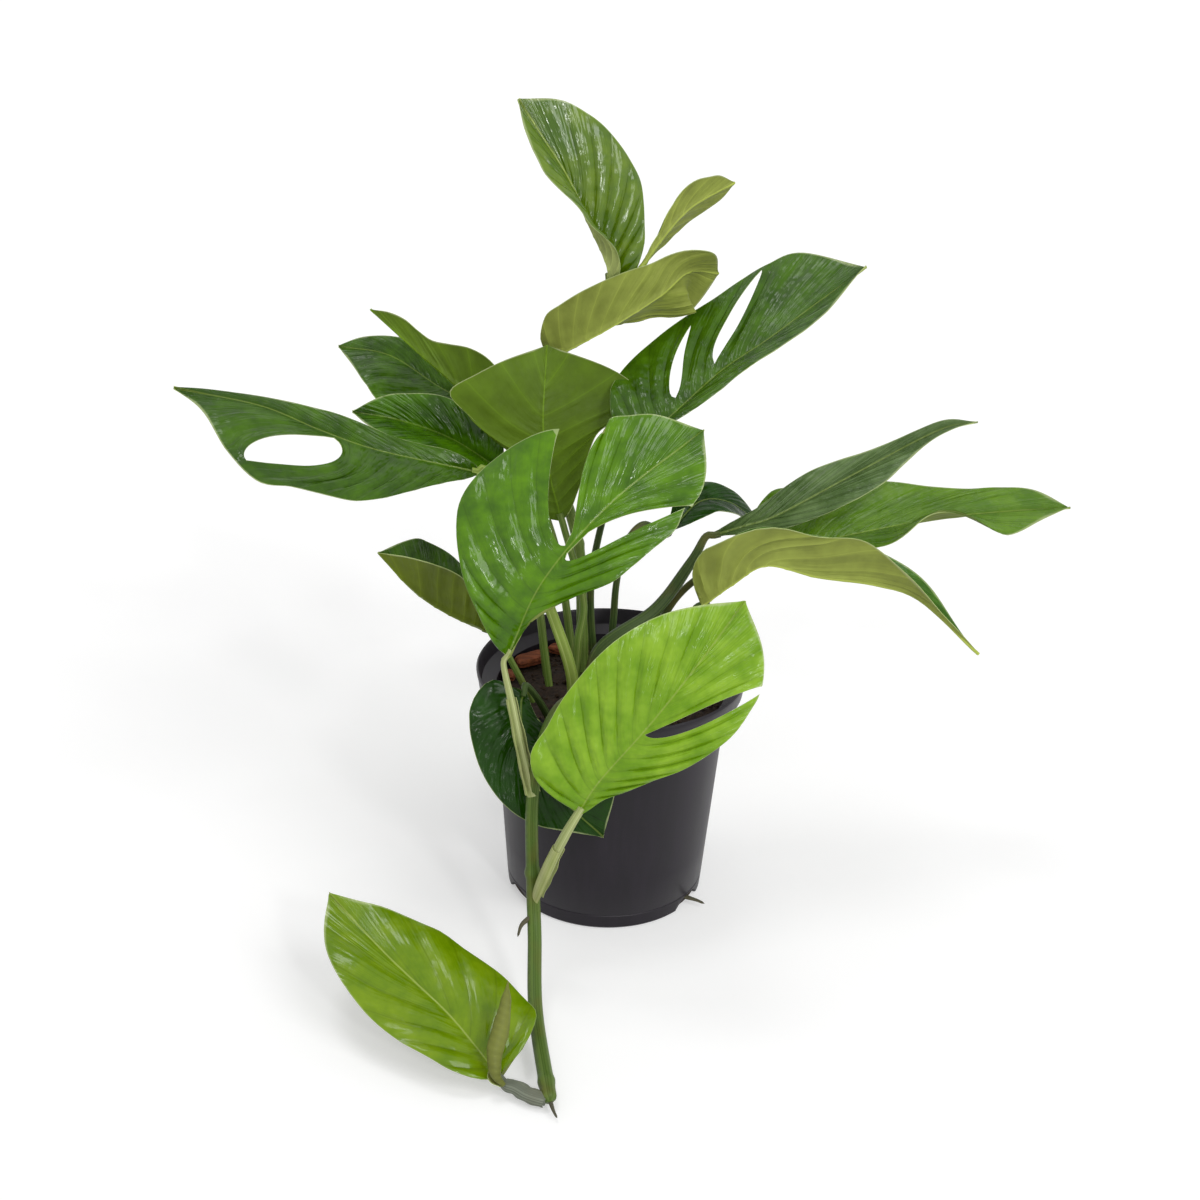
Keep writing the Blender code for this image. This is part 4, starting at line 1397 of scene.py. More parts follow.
@dataclass(frozen=True)
class Stem:
    """A stem, stalk or root along given points, with radii spread along it."""

    name: str
    points: tuple
    radii: tuple
    finish: StemFinish
    carries: str = ""
    slot: str = "stem"
    swellings: tuple = ()
    sheath: Sheath | None = None
    sheath_finish: StemFinish = SHEATH
    groove: float = 0.12
    blunt_end: float = 0.0

    AROUND = 20
    ROW_LENGTH = 1.6
    FEWEST_ROWS = 10
    SEAM_SIDE = (0.0, 1.0, 0.3)
    GROOVE_WIDTH = 0.45
    BLUNTNESS = 0.985
    SEAT = 5.0
    MIDRIB_STEPS = 60
    MIDRIB_START = 0.04
    BASE_DEPTH = 0.5
    TONGUE_LENGTH = 3.5
    TONGUE_DEPTH = 0.9

    def path(self) -> tuple[np.ndarray, float]:
        """The middle line and its length; a leaf's stalk runs on under the base of its midrib."""
        points = [tuple(point) for point in self.points]
        leaf = next((leaf for leaf in LEAVES if leaf.name == self.carries), None)
        if leaf is not None:
            base = np.array(leaf.midrib[0], float)
            along = unit(np.diff(even_line(leaf.midrib, self.MIDRIB_STEPS), axis=0)[:1])[0]
            _, _, normal = leaf.frames(np.array([0.0, self.MIDRIB_START]))
            points.append(tuple(base - along * self.SEAT))
            points.append(tuple(base - normal[0] * self.BASE_DEPTH))
            points.append(tuple(base + along * self.TONGUE_LENGTH - normal[1] * self.TONGUE_DEPTH))
        rows = max(self.FEWEST_ROWS, round(length_of(points) / self.ROW_LENGTH))
        line = even_line(tuple(points), rows)
        return line, length_of(line)

    def cross_frames(self, line: np.ndarray) -> tuple[np.ndarray, np.ndarray]:
        """Two directions across the line at each point, carried along without twist."""
        along = unit(np.gradient(line, axis=0))
        start = Vector(self.SEAM_SIDE)
        side = (start - Vector(along[0]) * start.dot(Vector(along[0]))).normalized()
        firsts = []
        for direction in along:
            tangent = Vector(direction)
            side = (side - tangent * side.dot(tangent)).normalized()
            firsts.append(tuple(side))
        firsts = np.array(firsts)
        return firsts, np.cross(along, firsts)

    def radius(self, t: np.ndarray, length: float) -> np.ndarray:
        """The radius at each t, with the swellings and a blunt end."""
        radii = eased(self.radii, t)
        for swelling in self.swellings:
            radii = radii + swelling.extra * np.exp(-(((t - swelling.at) * length / swelling.length) ** 2))
        if self.blunt_end:
            left = np.clip((1 - t) * length / self.blunt_end, 0, 1)
            radii = radii * np.sqrt(1 - (1 - left) ** 2 * self.BLUNTNESS)
        return radii

    def tube(self) -> bpy.types.Object:
        """The round body of the stem, with closed ends."""
        line, length = self.path()
        rows = len(line) - 1
        obj, columns, row_of = start_grid(self.name + "_skin", self.AROUND, rows)
        first, second = self.cross_frames(line)
        t = row_of / rows
        angle = columns / self.AROUND * 2 * pi
        radii = self.radius(t, length)
        from_groove = np.angle(np.exp(1j * (angle - pi)))
        grooved = 1 - self.groove * np.exp(-((from_groove / self.GROOVE_WIDTH) ** 2))
        outward = round_about(first[row_of], second[row_of], angle)
        places = line[row_of] + outward * (radii * grooved)[:, None]
        move_points(obj, places * MM)
        measure(obj, "around_mm", angle * np.mean(self.radii))
        measure(obj, "along_mm", t * length)
        merge_points(obj)
        edit(obj)
        close_ends(self.AROUND)
        return obj

    def wings(self) -> bpy.types.Object:
        """The sheath: a thin sheet bent round the stalk, flared at its edges."""
        sheath = self.sheath
        line, length = self.path()
        obj, column, row = start_grid(self.name + "_sheath", sheath.COLUMNS, sheath.ROWS)
        share = row / sheath.ROWS
        t = sheath.start + (sheath.end - sheath.start) * share
        steps = np.linspace(0, 1, len(line))
        centre, one, two = (read_at(t, steps, vectors) for vectors in (line, *self.cross_frames(line)))
        towards = np.array(sheath.opens_towards, float)
        mouth = np.arctan2((two * towards).sum(1), (one * towards).sum(1))
        across = column / sheath.COLUMNS * 2 - 1
        reach = pi - radians(sheath.gap_degrees) / 2
        radii = self.radius(t, length) + sheath.CLEARANCE + eased(sheath.flare, share) * np.abs(across) ** 2
        ruffles = np.sin(share * sheath.RUFFLES_ALONG + across * sheath.RUFFLES_ACROSS)
        radii += sheath.RUFFLE * ruffles * np.abs(across)
        places = centre + round_about(one, two, mouth + pi + across * reach) * radii[:, None]
        move_points(obj, places * MM)
        measure(obj, "around_mm", across * sheath.EDGE_AROUND)
        measure(obj, "along_mm", t * length)
        thicken(obj, sheath.THICKNESS, 0.0)
        return obj

    def build(self) -> bpy.types.Object:
        """Make the stem with its sheath, and dress it."""
        obj = self.tube()
        obj.data.materials.append(self.finish.material())
        if self.sheath:
            wings = self.wings()
            wings.data.materials.append(self.sheath_finish.material())
            obj = join([obj, wings], self.name + "_skin")
        unwrap(obj, "around_mm", values_of(obj, "around_mm"), values_of(obj, "along_mm"))
        smooth(obj, SOFT_ANGLE)
        return dress(obj, self.slot, self.name)


def stalk(
    place: str, points: tuple, radii: tuple, finish: StemFinish, **more: float | Sheath | StemFinish
) -> Stem:
    """The stalk of the leaf at this place on the plant, with more of the stem's settings."""
    return Stem("stalk_" + place, points, radii, finish, "leaf_" + place, **more)


def root(name: str, points: tuple, radii: tuple) -> Stem:
    """A short bare root with a blunt tip."""
    return Stem(name, points, radii, ROOT, slot="root", blunt_end=1.5)


STEMS = (
    Stem(
        "trailing_stem",
        (
            (-14, -38, 118),
            (-22, -64, 147),
            (-32, -88, 142),
            (-38, -97, 109),
            (-37, -100, 60),
            (-35, -112, 34),
            (-32, -150, 14),
            (-22, -208, 6),
        ),
        (3.0, 3.3, 3.7, 3.9),
        STEM,
        swellings=(Swelling(0.31, 0.8, 2.5), Swelling(0.52, 0.9, 2.5), Swelling(0.955, 0.6, 2.5)),
        blunt_end=3.0,
    ),
    Stem(
        "crown_stem_tall",
        (
            (-16, 20, 118),
            (-20, 30, 189),
            (-31, 44, 225),
            (-41, 60, 262),
            (-41, 72, 292),
            (-26, 76, 310),
            (-14, 75, 320),
        ),
        (3.4, 2.6),
        STALK_GREEN,
        swellings=(Swelling(0.35, 0.6, 2.2), Swelling(0.62, 0.6, 2.2), Swelling(0.8, 0.6, 2.2)),
    ),
    stalk("crown_top", ((-32, 75, 305), (-18, 73, 323)), (2.0, 1.8), STALK_GREEN),
    stalk("crown_narrow", ((-14, 75, 320), (-3, 71, 332)), (1.8, 1.4), STALK_GREEN),
    stalk("crown_rolled", ((-42, 70, 285), (-45, 67, 290)), (1.8, 1.6), STALK_GREEN),
    stalk("centre_back", ((-20, 0, 118), (-19, 1, 150), (-17, 5, 174)), (2.6, 1.9), STALK_GREEN),
    stalk("right_split", ((-8, 8, 118), (-13, 9, 172), (-10, 6, 209)), (2.2, 1.7), STALK_DARK),
    stalk(
        "far_left",
        ((-20, -18, 118), (-22, -19, 142), (-32, -10, 168), (-50, 0, 210)),
        (3.4, 2.2),
        STALK_BRIGHT,
        groove=0.3,
    ),
    stalk("left_dark", ((-22, 38, 118), (-34, 58, 180), (-54, 78, 226)), (2.4, 1.8), STALK_GREEN),
    stalk("left_back", ((-36, 16, 118), (-46, 28, 180), (-66, 42, 228)), (2.4, 1.8), STALK_GREEN),
    stalk("left_cupped", ((-34, 2, 118), (-44, 12, 180), (-55, 24, 220)), (2.2, 1.7), STALK_GREEN),
    stalk("left_low", ((-42, -14, 118), (-56, -15, 147)), (2.0, 1.6), STALK_GREEN),
    stalk("rim_dark", ((-29, -42, 118), (-38, -50, 140)), (2.2, 1.7), STALK_DARK),
    stalk(
        "right_upper",
        ((-10, -8, 118), (-7, -2, 146), (23, 12, 166), (42, 25, 190)),
        (4.0, 4.2, 3.4, 2.0),
        STALK_DARK,
        groove=0.25,
    ),
    stalk("right_far", ((14, 30, 118), (34, 38, 160), (58, 39, 184)), (2.4, 1.8), STALK_DARK),
    stalk("right_drooping", ((8, 6, 118), (24, -2, 150), (42, -6, 166)), (2.4, 1.8), STALK_DARK),
    stalk(
        "right_back",
        ((-2, 26, 118), (0, 28, 150), (1, 32, 172), (5, 39, 193), (15, 47, 203)),
        (2.2, 1.6),
        STALK_DARK,
    ),
    stalk(
        "centre_front",
        ((-38, -98, 110), (-44, -92, 132), (-50, -83, 155)),
        (2.7, 2.2, 1.4),
        PALE_STALK,
        sheath=Sheath(0.02, 0.66, (1.2, 0.9, 0.2), (0.5, -0.8, 0.2), 110),
    ),
    stalk(
        "rim_bright",
        ((-36, -101, 48), (-31, -107, 66), (-26, -111, 82), (-20, -114, 98)),
        (2.2, 2.8, 2.6, 2.2),
        PALE_STALK,
        sheath=Sheath(0.03, 0.6, (1.6, 1.8, 0.6), (0.9, -0.5, 0.1), 90),
    ),
    stalk(
        "floor",
        ((-24, -206, 5), (-32, -204, 6), (-39, -200, 7)),
        (2.8, 2.9, 1.7),
        SHADE_GREYED_STALK,
        sheath=Sheath(0.02, 0.75, (0.9, 0.8, 0.1), (0.2, 0.6, -0.6), 120),
        sheath_finish=SHADE_GREYED_STALK,
    ),
    root("stem_end_root", ((-22, -206, 5), (-20, -212, 4), (-18, -216, 3)), (1.2, 0.6)),
    root("aerial_root", ((-37, -107, 42), (-42, -109, 38), (-44, -110, 31)), (1.5, 0.6)),
    root("root_at_drain", ((44, -26, 4), (53, -30, 4), (58, -32, 3)), (1.4, 0.7)),
)


@dataclass(frozen=True)
class UnfurlingLeaf:
    """The youngest leaf, still rolled into a loose cone, with one wavy free edge."""

    name: str = "leaf_unfurling"
    points: tuple = (
        (-45, -201, 9),
        (-49, -200, 15),
        (-50, -194, 23),
        (-48, -187, 31),
        (-46, -179, 40),
        (-45, -171, 48),
    )
    radii: tuple = (1.8, 4.0, 5.0, 4.6, 3.2, 0.5)
    turns: float = 1.35
    edge: float = 3.0
    finish: LeafFinish = ROLLED

    COLUMNS = 48
    ROWS = 60
    SEAM_SIDE = (0.0, 0.3, 1.0)
    START_ANGLE = 0.6
    INNERMOST = 0.55
    FREE_FROM = 0.86
    FREE_CURVE = 1.5
    RUFFLE = 0.35
    RUFFLES = 26.0
    THICKNESS = 0.35
    FLAT_WIDTH = 30.0
    FLAT_LENGTH = 60.0
    RIM_SPAN = 22.0
    RIB_START = 3.0
    VEINS = 14
    VEIN_SLANT = 2
    VEIN_GAP = 5.0

    def build(self) -> bpy.types.Object:
        """Roll a sheet round the line, and dress it."""
        line = even_line(self.points, self.ROWS)
        along = unit(np.gradient(line, axis=0))
        first = unit(np.cross(along, np.array(self.SEAM_SIDE)))
        second = np.cross(along, first)
        obj, column, row = start_grid(self.name + "_roll", self.COLUMNS, self.ROWS)
        t = row / self.ROWS
        share = column / self.COLUMNS
        angle = share * self.turns * 2 * pi - self.START_ANGLE
        radii = eased(self.radii, t) * (self.INNERMOST + (1 - self.INNERMOST) * share)
        free = np.clip((share - self.FREE_FROM) / (1 - self.FREE_FROM), 0, 1) ** self.FREE_CURVE
        radii += free * self.edge * np.sin(pi * t) * (1 + self.RUFFLE * np.sin(t * self.RUFFLES))
        places = line[row] + round_about(first[row], second[row], angle) * radii[:, None]
        move_points(obj, places * MM)
        between_veins = (t * self.VEINS + share * self.VEIN_SLANT) % 1.0 - 0.5
        measure(obj, "vein_mm", np.abs(between_veins) * self.VEIN_GAP)
        measure(obj, "rib_mm", share * self.FLAT_WIDTH + self.RIB_START)
        measure(obj, "rim_mm", (1 - share) * self.RIM_SPAN)
        measure(obj, "along_mm", t * self.FLAT_LENGTH)
        measure(obj, "across_mm", share * self.FLAT_WIDTH)
        for material in self.finish.materials():
            obj.data.materials.append(material)
        obj.data.polygons.foreach_set("material_index", [Layer.UNDER.value] * len(obj.data.polygons))
        thicken(obj, self.THICKNESS, -1.0, rim=Layer.RIM.value - Layer.UNDER.value)
        unwrap(obj, "blade_mm", values_of(obj, "across_mm"), values_of(obj, "along_mm"))
        smooth(obj, SOFT_ANGLE)
        return dress(obj, "leaf", self.name)


# ---------------------------------------------------------------------------------------------------
# Pot, soil and bark
# ---------------------------------------------------------------------------------------------------


@dataclass(frozen=True)
class NurseryPot:
    """A moulded nursery pot: tapered wall, stepped collar and three arches in its foot."""

    height: float = 137.0
    rim_radius: float = 75.0
    neck_radius: float = 65.5
    foot_radius: float = 56.0
    collar_height: float = 11.0
    collar_taper: float = 1.5
    wall: float = 1.6
    floor: float = 2.2
    notch_angles: tuple = (-150.0, -30.0, 90.0)
    notch_height: float = 8.0
    notch_radius: float = 14.0
    notch_depth: float = 12.0
    foot_line: float = 9.0
    foot_line_depth: float = 0.35
    rounding: float = 1.2

    STEPS = 160
    NOTCH_STEPS = 64
    EDGE_WIDTH = 0.3
    EDGE_SEGMENTS = 2
    EDGE_ANGLE = 40.0
    SMOOTH_ANGLE = 30.0

    def wall_radius(self, height: float) -> float:
        """The outer radius of the wall at a height."""
        neck = self.height - self.collar_height
        return self.foot_radius + (self.neck_radius - self.foot_radius) * height / neck

    def profile(self) -> list[tuple[float, float]]:
        """Radii and heights from the foot, up the outside and down the inside to the floor."""
        neck = self.height - self.collar_height
        line = self.foot_line
        collar = self.rim_radius - self.collar_taper
        foot = [(self.foot_radius - self.rounding, 0.0), (self.foot_radius, self.rounding)]
        moulded_line = [
            (self.wall_radius(line - 0.5), line - 0.5),
            (self.wall_radius(line) - self.foot_line_depth, line),
            (self.wall_radius(line + 0.6), line + 0.6),
        ]
        wall = [(self.wall_radius(neck * k / 4), neck * k / 4) for k in (1, 2, 3)]
        step = [
            (self.neck_radius - 0.4, neck - 3.0),
            (self.neck_radius + 0.3, neck - 0.8),
            (collar - 0.6, neck),
            (collar, neck + 0.8),
        ]
        lip = [
            (self.rim_radius - 0.6, self.height - 4.0),
            (self.rim_radius - 0.3, self.height - 3.4),
            (self.rim_radius, self.height - self.rounding),
            (self.rim_radius - self.wall / 2, self.height),
            (self.rim_radius - self.wall, self.height - self.rounding),
        ]
        inside = [
            (collar - self.wall, neck + 2.0),
            (self.neck_radius - self.wall, neck - 1.0),
            (self.foot_radius - self.wall, self.floor),
        ]
        return foot + moulded_line + wall + step + lip + inside

    def turned(self) -> bpy.types.Object:
        """The shell, drawn up ring by ring from a circle."""
        profile = self.profile()
        deselect()
        bpy.ops.mesh.primitive_circle_add(
            vertices=self.STEPS, radius=profile[0][0] * MM, fill_type="NOTHING"
        )
        obj = named("nursery_pot")
        bpy.ops.object.mode_set(mode="EDIT")
        bpy.ops.mesh.select_mode(type="EDGE")
        bpy.ops.mesh.select_all(action="SELECT")
        for (low_radius, low), (radius, height) in zip(profile, profile[1:]):
            bpy.ops.mesh.extrude_edges_move(TRANSFORM_OT_translate={"value": (0, 0, (height - low) * MM)})
            scale = radius / low_radius
            bpy.ops.transform.resize(value=(scale, scale, 1.0), center_override=(0, 0, height * MM))
        close_ends(self.STEPS)
        return obj

    def cut_notches(self, pot: bpy.types.Object) -> None:
        """Cut the arches through the foot."""
        for degrees in self.notch_angles:
            around = radians(degrees)
            place = Vector((cos(around) * self.foot_radius, sin(around) * self.foot_radius, 0.0))
            place.z = self.notch_height - self.notch_radius
            deselect()
            bpy.ops.mesh.primitive_cylinder_add(
                vertices=self.NOTCH_STEPS,
                radius=self.notch_radius * MM,
                depth=2 * self.notch_depth * MM,
                location=place * MM,
                rotation=(0.0, pi / 2, around),
            )
            cutter = named("notch_cutter")
            arch = pot.modifiers.new("arch", "BOOLEAN")
            arch.operation = "DIFFERENCE"
            arch.solver = "EXACT"
            arch.object = cutter
            apply_modifiers(pot)
            bpy.data.objects.remove(cutter, do_unlink=True)

    def build(self) -> bpy.types.Object:
        """Make the pot, round its edges and dress it."""
        pot = self.turned()
        self.cut_notches(pot)
        edges = pot.modifiers.new("moulded_edges", "BEVEL")
        edges.width = self.EDGE_WIDTH * MM
        edges.segments = self.EDGE_SEGMENTS
        edges.limit_method = "ANGLE"
        edges.angle_limit = radians(self.EDGE_ANGLE)
        apply_modifiers(pot)
        pot.data.materials.append(NurseryPlastic().material())
        smooth(pot, self.SMOOTH_ANGLE)
        return dress(pot, "pot", "pot")


@dataclass(frozen=True)
class Soil:
    """The bed of peat in the pot, and the loose crumbs on it."""

    top: float = 119.0
    mound: float = 4.0
    bottom: float = 2.5
    top_radius: float = 63.0
    bottom_radius: float = 54.1
    lumps: float = 1.1
    crumbs: int = 420
    seed: int = 11

    RINGS = 90
    SINK = 0.6
    FLAT_RIM = 4.0
    COARSE_LUMP = 7.0
    COARSE_SEED = 1.3
    FINE_LUMP = 2.6
    FINE_SEED = 4.1
    FINE_SHARE = 0.6
    SMOOTH_ANGLE = 40.0
    CRUMB_REACH = 0.97
    CRUMB_LUMP = 0.8
    CRUMB_SEED = 2.2
    CRUMB_DEPTH = 0.35
    CRUMB_LEAST = 0.6
    CRUMB_MORE = 1.5
    SQUASH_LEAST = 0.6
    SQUASH_MORE = 0.8
    CRUMB_SINK = 0.1
    CRUMB_SMOOTH_ANGLE = 60.0

    def height(self, x: np.ndarray, y: np.ndarray) -> np.ndarray:
        """The height of the smooth mound."""
        return self.top + self.mound * np.clip(1 - (x * x + y * y) / self.top_radius**2, 0, 1)

    def bed(self) -> bpy.types.Object:
        """A lumpy disc with its sides drawn down to the pot's floor."""
        obj, column, row = start_grid("potting_soil_bed", self.RINGS, self.RINGS)
        x = column / self.RINGS * 2 - 1
        y = row / self.RINGS * 2 - 1
        across = x * np.sqrt(1 - y * y / 2) * self.top_radius
        along = y * np.sqrt(1 - x * x / 2) * self.top_radius
        flat = np.stack([across, along, np.zeros_like(across)], axis=1)
        inward = np.clip((self.top_radius - np.hypot(across, along)) / self.FLAT_RIM, 0, 1)
        coarse = rough(flat, self.COARSE_LUMP, self.COARSE_SEED)
        fine = self.FINE_SHARE * rough(flat, self.FINE_LUMP, self.FINE_SEED)
        lumps = (coarse + fine) * self.lumps * inward
        places = np.stack([across, along, self.height(across, along) - self.SINK + lumps], axis=1)
        move_points(obj, places * MM)
        edit(obj)
        bpy.ops.mesh.select_mode(type="EDGE")
        bpy.ops.mesh.select_all(action="DESELECT")
        bpy.ops.mesh.select_non_manifold()
        drop = self.bottom - self.top
        bpy.ops.mesh.extrude_edges_move(TRANSFORM_OT_translate={"value": (0, 0, drop * MM)})
        scale = self.bottom_radius / self.top_radius
        bpy.ops.transform.resize(value=(scale, scale, 1.0), center_override=(0, 0, 0))
        bpy.ops.mesh.edge_face_add()
        bpy.ops.mesh.select_all(action="SELECT")
        bpy.ops.mesh.normals_make_consistent(inside=False)
        bpy.ops.object.mode_set(mode="OBJECT")
        obj.data.materials.append(PEAT.material())
        smooth(obj, self.SMOOTH_ANGLE)
        return dress(obj, "peat", "potting_soil")

    def loose_crumbs(self) -> bpy.types.Object:
        """Crumbs of peat from one lump, each turned, squashed and sized on its own."""
        deselect()
        bpy.ops.mesh.primitive_ico_sphere_add(subdivisions=2, radius=1.0)
        lump = named("soil_crumbs")
        shape = points_of(lump)
        faces = np.array([list(polygon.vertices) for polygon in lump.data.polygons])
        uneven = self.CRUMB_DEPTH * rough(shape, self.CRUMB_LUMP, self.CRUMB_SEED)
        shape = shape * (1 + uneven)[:, None]
        chance = np.random.default_rng(self.seed)
        places = []
        corners = []
        for i in range(self.crumbs):
            away = self.top_radius * self.CRUMB_REACH * chance.random() ** 0.5
            around = chance.random() * 2 * pi
            size = self.CRUMB_LEAST + self.CRUMB_MORE * chance.random() ** 3
            squash = self.SQUASH_LEAST + self.SQUASH_MORE * chance.random(3)
            turn = Matrix.Rotation(chance.random() * 2 * pi, 3, Vector(chance.random(3) - 0.5))
            x = np.cos(around) * away
            y = np.sin(around) * away
            z = float(self.height(np.array(x), np.array(y))) - self.CRUMB_SINK
            places.append((shape * squash * size) @ np.array(turn).T + np.array([x, y, z]))
            corners.append(faces + i * len(shape))
        mesh = bpy.data.meshes.new("soil_crumbs")
        mesh.from_pydata((np.vstack(places) * MM).tolist(), [], np.vstack(corners).tolist())
        lump.data = mesh
        mesh.materials.append(CRUMBS.material())
        smooth(lump, self.CRUMB_SMOOTH_ANGLE)
        return dress(lump, "peat")


@dataclass(frozen=True)
class BarkChip:
    """A chip of pine bark, where its solid lies on the soil: its size, and its turn in degrees."""

    name: str
    length: float
    width: float
    height: float
    turn: float

    CUTS = 9
    SQUARENESS = 5
    SEED_PER_DEGREE = 0.13
    OUTLINE_LUMP = 6.0
    OUTLINE_DEPTH = 0.12
    LAYERS = 3.2
    LAYER_LUMP = 5.0
    LAYER_BEND = 3.0
    LAYER_DEPTH = 0.35
    FACE_LUMP = 4.0
    FACE_DEPTH = 0.1
    SINK = 0.3
    SMOOTH_ANGLE = 45.0

    def build(self) -> bpy.types.Object:
        """Break a block into a chip with worn corners and split layers, and dress it."""
        low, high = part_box(self.name)
        centre = (low + high) / 2
        deselect()
        bpy.ops.mesh.primitive_cube_add(size=1.0)
        obj = named(self.name + "_piece")
        edit(obj)
        bpy.ops.mesh.select_all(action="SELECT")
        bpy.ops.mesh.subdivide(number_cuts=self.CUTS)
        bpy.ops.object.mode_set(mode="OBJECT")
        cube = points_of(obj) * 2
        worn = cube / np.linalg.norm(cube, ord=self.SQUARENESS, axis=1, keepdims=True)
        body = worn * np.array([self.length, self.width, self.height]) / 2
        seed = self.turn * self.SEED_PER_DEGREE
        uneven = 1 + self.OUTLINE_DEPTH * rough(body, self.OUTLINE_LUMP, seed)
        bend = self.LAYER_BEND * rough(body, self.LAYER_LUMP, seed + 3)
        split = np.sin(body[:, 2] * self.LAYERS + bend)
        outward = unit(body[:, :2] + 1e-9)
        body[:, :2] = body[:, :2] * uneven[:, None] + outward * (self.LAYER_DEPTH * split)[:, None]
        body[:, 2] *= 1 + self.FACE_DEPTH * rough(body, self.FACE_LUMP, seed + 7)
        turn = np.array(Matrix.Rotation(radians(self.turn), 3, "Z"))
        places = body @ turn.T
        lift = low.z / MM - places[:, 2].min() - self.SINK
        move_points(obj, (places + np.array([centre.x / MM, centre.y / MM, lift])) * MM)
        obj.data.materials.append(BARK.material())
        smooth(obj, self.SMOOTH_ANGLE)
        return dress(obj, "bark", self.name)


BARK_CHIPS = (
    BarkChip("bark_chip_large", 20.0, 10.0, 5.0, 35.0),
    BarkChip("bark_chip_flat", 12.0, 8.0, 4.0, -20.0),
    BarkChip("bark_chip_small", 9.0, 6.0, 4.0, 80.0),
    BarkChip("bark_chip_right", 16.0, 9.0, 5.0, -50.0),
    BarkChip("bark_chip_front", 13.0, 8.0, 4.0, 15.0),
)


# ---------------------------------------------------------------------------------------------------
# Studio
# ---------------------------------------------------------------------------------------------------


@dataclass(frozen=True)
class Lamp:
    """A far, round soft light, which lights the whole floor evenly.

    It is seen from the plant in the direction "towards" and looks as wide as its spread in degrees.
    """

    name: str
    towards: tuple
    spread: float
    strength: float

    def build(self) -> None:
        """Hang the lamp and aim it at the plant."""
        aim = (-Vector(self.towards)).to_track_quat("-Z", "Y").to_euler()
        deselect()
        bpy.ops.object.light_add(type="SUN", location=self.towards, rotation=aim)
        lamp = bpy.context.active_object
        lamp.name = self.name
        lamp.data.angle = radians(self.spread)
        lamp.data.energy = self.strength


LAMPS = (
    Lamp("key", (0.95, -0.85, 1.25), 26.0, 0.8),
    Lamp("sparkle_right", (0.42, -0.76, 0.52), 5.8, 0.42),
    Lamp("sparkle_front", (0.05, -0.80, 0.58), 5.8, 0.34),
    Lamp("sparkle_low", (0.10, -0.98, 0.14), 5.8, 0.16),
    Lamp("top", (-0.15, 0.10, 0.95), 17.0, 0.45),
)


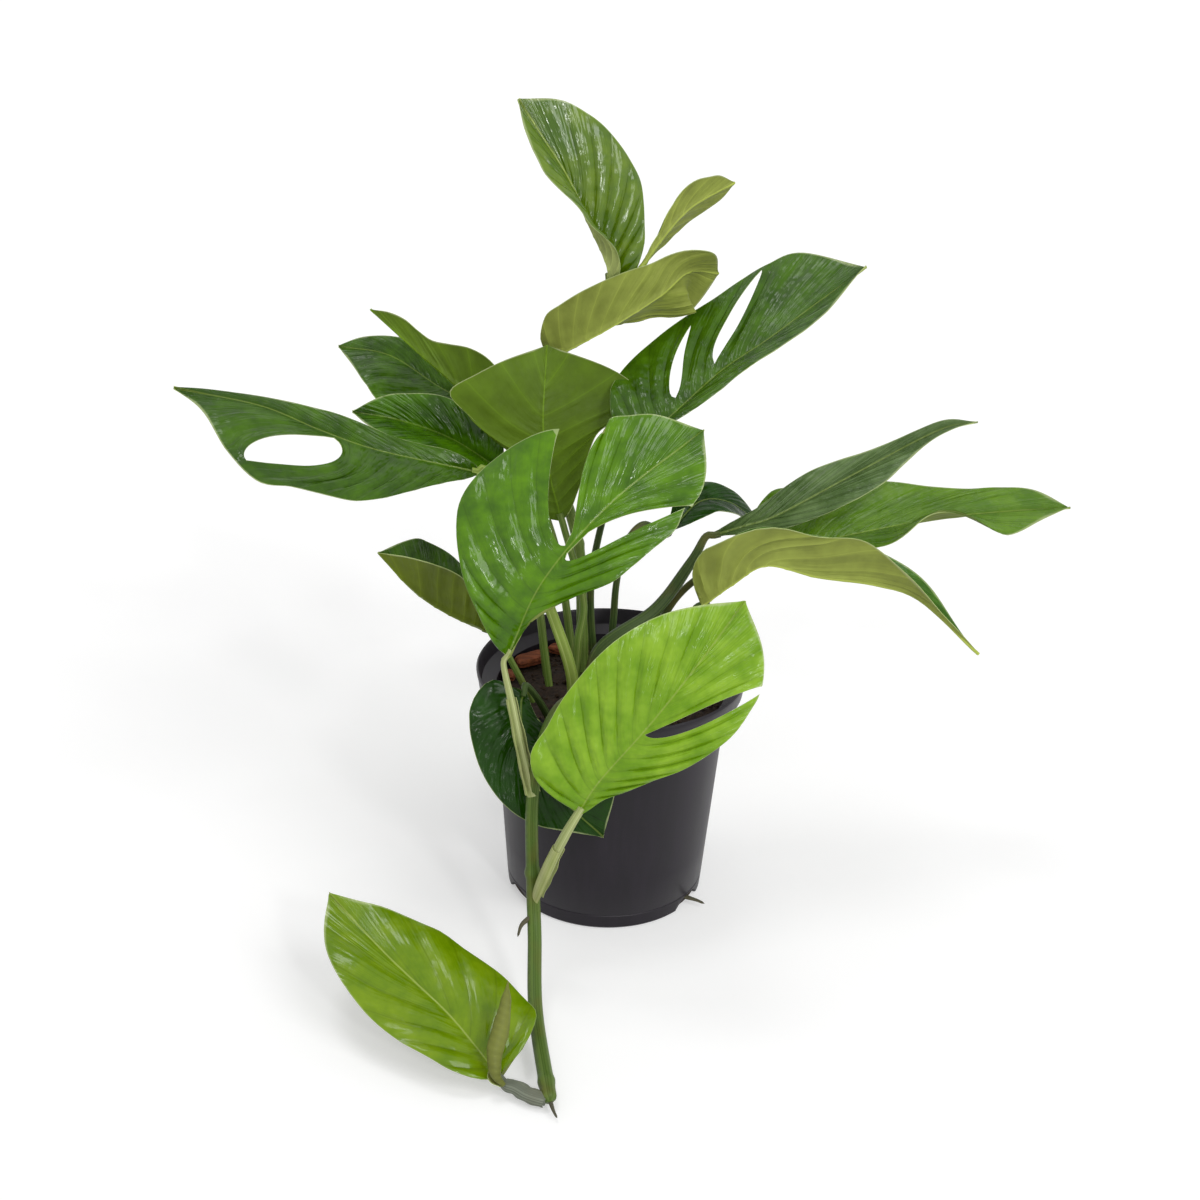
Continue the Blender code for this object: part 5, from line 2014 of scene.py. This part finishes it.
@dataclass(frozen=True)
class Studio:
    """The pale floor, the soft lights and the camera."""

    floor_size: float = 24.0
    floor_colour: str = "#dcdcdc"
    glow: float = 0.36
    fill: float = 0.5
    lens: float = 54.0
    sensor_width: float = 36.0
    camera_place: tuple = (0.0, -0.892, 0.590)
    pitch: float = 24.87
    yaw: float = -0.49
    roll: float = 1.91
    white: tuple = (1.0, 1.0, 1.0, 1.0)

    def background_rays(self, tree: bpy.types.NodeTree) -> bpy.types.NodeSocket:
        """One where the camera, a mirror or glass looks straight at the background, else zero."""
        path = add_node(tree, "ShaderNodeLightPath")
        seen = path.outputs["Is Camera Ray"]
        for name in ("Is Glossy Ray", "Is Transmission Ray"):
            rays = {0: seen, 1: path.outputs[name]}
            seen = add_node(tree, "ShaderNodeMath", {"operation": "MAXIMUM"}, rays).outputs[0]
        return seen

    def world(self) -> None:
        """An even pale fill, which looks white behind the plant."""
        world = bpy.data.worlds.new("studio")
        bpy.context.scene.world = world
        world.use_nodes = True
        tree = world.node_tree
        tree.nodes.clear()
        fill = add_node(tree, "ShaderNodeBackground", {"Color": self.white, "Strength": self.fill})
        plain = add_node(tree, "ShaderNodeBackground", {"Color": self.white, "Strength": 1.0})
        seen = self.background_rays(tree)
        mix = add_node(tree, "ShaderNodeMixShader", links={0: seen, 1: fill.outputs[0], 2: plain.outputs[0]})
        add_node(tree, "ShaderNodeOutputWorld", links={"Surface": mix.outputs[0]})

    def floor(self) -> None:
        """A large matt sheet of studio paper that glows a little for the camera and keeps the shadows."""
        deselect()
        bpy.ops.mesh.primitive_plane_add(size=self.floor_size)
        sheet = named("studio_floor")
        settings = {"Base Color": linear(self.floor_colour), "Roughness": 0.9, "Specular IOR Level": 0.1}
        material, tree, shader = new_material("studio_paper", settings)
        seen = self.background_rays(tree)
        glow = add_node(tree, "ShaderNodeMath", {"operation": "MULTIPLY", 1: self.glow}, {0: seen})
        shader.inputs["Emission Color"].default_value = self.white
        tree.links.new(glow.outputs[0], shader.inputs["Emission Strength"])
        sheet.data.materials.append(material)

    def camera(self) -> None:
        """The camera that frames the plant from slightly above."""
        pitch, yaw, roll = radians(self.pitch), radians(self.yaw), radians(self.roll)
        forward = Vector((sin(yaw) * cos(pitch), cos(yaw) * cos(pitch), -sin(pitch)))
        level = Vector((cos(yaw), -sin(yaw), 0.0))
        lifted = level.cross(forward)
        right = cos(roll) * level + sin(roll) * lifted
        up = -sin(roll) * level + cos(roll) * lifted
        turn = Matrix((right, up, -forward)).transposed().to_4x4()
        bpy.ops.object.camera_add()
        camera = bpy.context.active_object
        camera.name = "studio_camera"
        camera.matrix_world = Matrix.Translation(self.camera_place) @ turn
        camera.data.sensor_width = self.sensor_width
        camera.data.lens = self.lens
        camera.data.dof.use_dof = False
        bpy.context.scene.camera = camera

    def build(self) -> None:
        """Set up the whole studio."""
        self.world()
        self.floor()
        for lamp in LAMPS:
            lamp.build()
        self.camera()
        bpy.context.scene.view_settings.view_transform = "Standard"


def main() -> None:
    """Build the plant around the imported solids."""
    logging.basicConfig(level=logging.INFO, format="%(message)s")
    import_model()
    deselect()
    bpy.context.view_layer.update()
    Studio().build()
    NurseryPot().build()
    soil = Soil()
    soil.bed()
    soil.loose_crumbs()
    for chip in BARK_CHIPS:
        chip.build()
    for stem in STEMS:
        stem.build()
    for leaf in LEAVES:
        leaf.build()
    UnfurlingLeaf().build()


if __name__ == "__main__":
    main()
